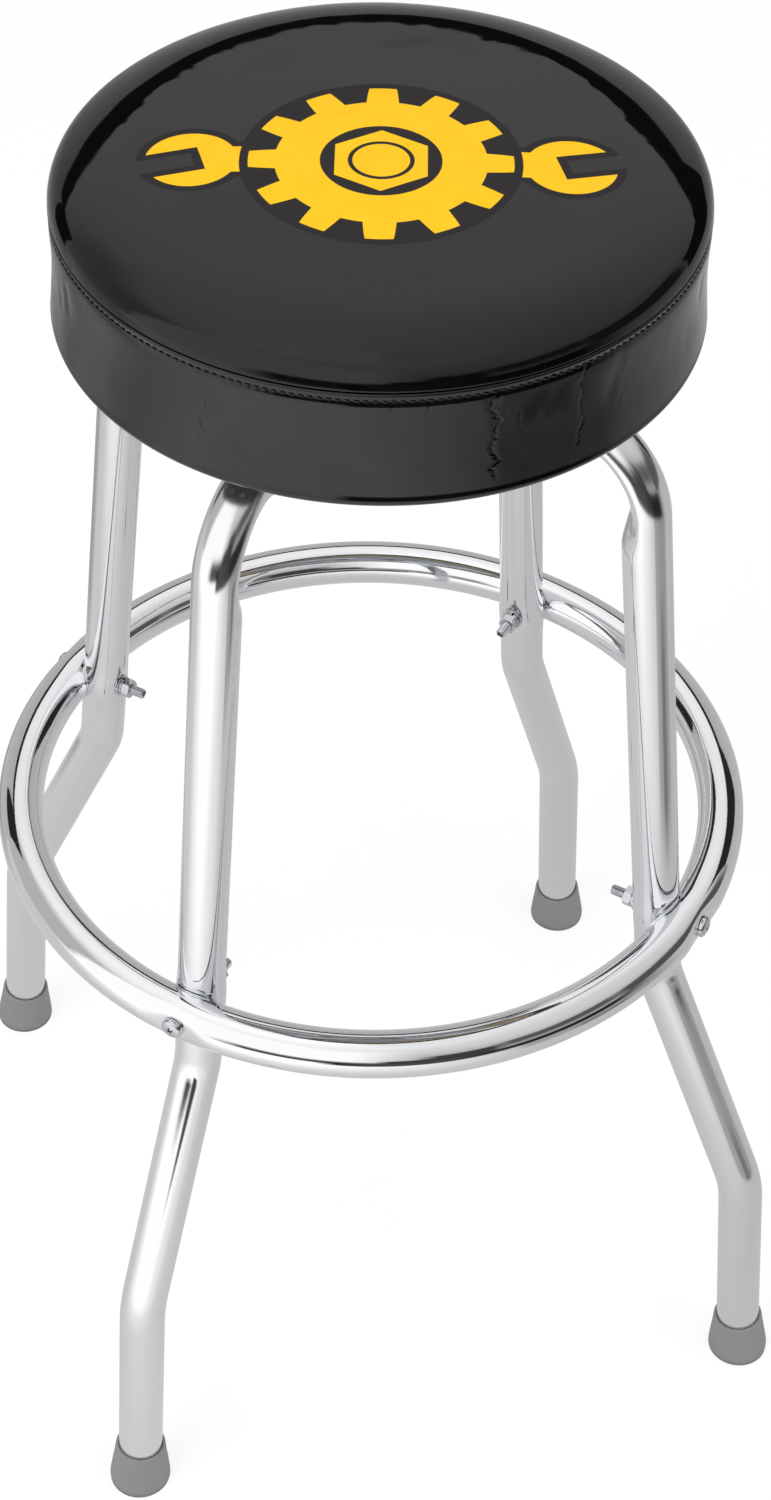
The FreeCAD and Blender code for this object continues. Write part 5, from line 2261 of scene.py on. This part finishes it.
@dataclass
class Studio:
    """A pale floor, a soft white room and the camera at the photograph's angle."""

    dresser: Dresser
    elevation: float = 43.81
    roll: float = 1.15
    distance: float = 1793.7 * MM
    aside: float = 7.6 * MM
    aim_height: float = 372.6 * MM
    focal_pixels: float = 3205.0
    picture_height: float = 1500.0
    floor_size: float = 40.0
    screen_radius: float = 1.35
    screen_height: float = 1.60
    panels: tuple[Panel, ...] = (
        Panel(-135.0, -84.0, -20.0, 45.0, 0.50, 12.0),
        Panel(-84.0, -20.0, -20.0, 60.0, 1.14, 4.0),
        Panel(-40.0, 6.0, -20.0, 60.0, 1.14, 20.0),
        Panel(-36.0, 12.0, -12.0, 6.0, 0.08, 8.0),
        Panel(4.0, 22.0, -20.0, 12.0, 0.05, 4.0),
        Panel(16.0, 36.0, -20.0, 22.0, 0.05, 6.0),
        Panel(36.0, 70.0, -20.0, 8.0, 0.34, 8.0),
        Panel(36.0, 70.0, 8.0, 26.0, 0.10, 6.0),
        Panel(70.0, 115.0, -20.0, 24.0, 0.09, 6.0),
    )
    # The ceiling brightens upwards, is dimmer on the right, and is lit lower down behind the stool.
    ceiling: Point = (0.40, 1.02)
    ceiling_edge: Point = (44.0, 62.0)
    right_loss: float = 0.15
    right_edge: Point = (50.0, 20.0)
    back_gain: float = 0.20
    back_edge: Point = (50.0, 40.0)
    back_top: Point = (62.0, 30.0)
    # How strongly the room lights what is matt, and shows behind the floor
    plain: Point = (0.65, 1.0)
    softboxes: tuple[Softbox, ...] = (
        Softbox("key_softbox", -1.3, -1.2, 2.4, 1.6, 30.0),
        Softbox("fill_softbox", 1.6, -0.6, 1.8, 1.8, 12.0),
    )

    def camera(self) -> None:
        """The camera."""
        turn = math.radians(CAMERA_AZIMUTH)
        tilt = math.radians(self.elevation)
        lens = bpy.data.cameras.new("camera")
        lens.sensor_width = 36.0
        lens.lens = lens.sensor_width * self.focal_pixels / self.picture_height
        lens.clip_start = 0.05
        lens.clip_end = 100.0
        camera = bpy.data.objects.new("camera", lens)
        bpy.context.scene.collection.objects.link(camera)
        right = Vector((1.0, 0.0, 0.0))
        up = Vector((0.0, math.sin(tilt), math.cos(tilt)))
        back = Vector((0.0, -math.cos(tilt), math.sin(tilt)))
        place = Vector((self.aside, 0.0, self.aim_height)) + back * self.distance
        rolled = math.radians(self.roll)
        rolled_right = right * math.cos(rolled) + up * math.sin(rolled)
        rolled_up = up * math.cos(rolled) - right * math.sin(rolled)
        axes = Matrix((rolled_right, rolled_up, back)).transposed().to_4x4()
        camera.matrix_world = Matrix.Rotation(turn, 4, "Z") @ Matrix.Translation(place) @ axes
        bpy.context.scene.camera = camera

    def floor(self) -> None:
        """The floor."""
        deselect()
        bpy.ops.mesh.primitive_plane_add(size=self.floor_size, location=(0.0, 0.0, -0.1 * MM))
        floor = settled("studio_floor")
        floor.data.materials.append(self.dresser.material(Paper()))

    def screen(self) -> None:
        """The curved grey screen behind the stool, which only polished surfaces see, as a glow of painted
        reflection.
        """
        deselect()
        bpy.ops.mesh.primitive_cylinder_add(
            vertices=96, radius=self.screen_radius, depth=self.screen_height, end_fill_type="NOTHING",
            location=(0.0, 0.0, self.screen_height / 2),
        )
        screen = settled("studio_screen")
        screen.data.materials.append(self.dresser.material(Screen()))
        screen.visible_camera = False
        screen.visible_diffuse = False
        screen.visible_shadow = False
        screen.visible_transmission = False

    def room(self) -> None:
        """The room: a white ceiling and a white wall on the left, and dark things on the right."""
        world = bpy.data.worlds.new("studio_room")
        bpy.context.scene.world = world
        world.use_nodes = True
        shader = Shader(world.node_tree)
        way = shader.add("ShaderNodeTexCoord", {}, out="Generated")
        across, back, up = shader.from_camera(way)
        side = across.round_camera(back)
        height = up.do("ARCSINE") * math.degrees(1.0)
        from_back = side.size().do("MULTIPLY_ADD", -1.0, 180.0)
        ceiling = height.above(*self.ceiling_edge).between(*self.ceiling)
        on_right = side.do("RADIANS").do("SINE") * height.above(*self.right_edge)
        behind = from_back.below(*self.back_edge) * height.below(*self.back_top)
        seen = ceiling - on_right * self.right_loss + behind * self.back_gain
        for panel in self.panels:
            seen = panel.over(seen, side, height)
        seen_by = shader.add("ShaderNodeLightPath", {}, out="Is Camera Ray")
        glossy = seen_by.beside("Is Glossy Ray")
        plain = seen_by.between(*self.plain)
        strength = plain * glossy.inverse() + seen * glossy
        light = shader.add("ShaderNodeBackground", {"Color": linear("#FFFFFF"), "Strength": strength})
        shader.add("ShaderNodeOutputWorld", {"Surface": light})

    def lamps(self) -> None:
        """Two large soft lamps, which polished surfaces don't mirror."""
        turn = Matrix.Rotation(math.radians(CAMERA_AZIMUTH), 4, "Z")
        for box in self.softboxes:
            light = bpy.data.lights.new(box.name, "AREA")
            light.size = box.width
            light.energy = box.power
            lamp = bpy.data.objects.new(box.name, light)
            bpy.context.scene.collection.objects.link(lamp)
            place = turn @ Vector((box.across, box.back, box.height))
            lamp.location = place
            lamp.rotation_mode = "QUATERNION"
            lamp.rotation_quaternion = (Vector((0.0, 0.0, 0.4)) - place).to_track_quat("-Z", "Y")
            lamp.visible_glossy = False

    def build(self) -> None:
        """Build the studio."""
        bpy.context.scene.view_settings.view_transform = "Standard"
        self.camera()
        self.floor()
        self.screen()
        self.room()
        self.lamps()


def main(frame: dict) -> None:
    """Build the studio and the stool's pieces, in order.

    Args:
        frame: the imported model.
    """
    logging.basicConfig(level=logging.INFO, format="%(message)s")
    dresser = Dresser()
    Studio(dresser).build()
    Seat(dresser).build(frame)
    Swivel(dresser).build(frame)
    legs = Legs(dresser)
    legs.build()
    ring = FootRing(dresser, legs)
    ring.build()
    RingFasteners(dresser, legs, ring).build()
    for node in ("leg_bolts", "leg_bolt_washers", "leg_bolt_nuts"):
        dresser.dress(frame, node, ZINC)
    Feet(dresser).build(frame)


if __name__ == "__main__":
    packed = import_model()
    main(packed)
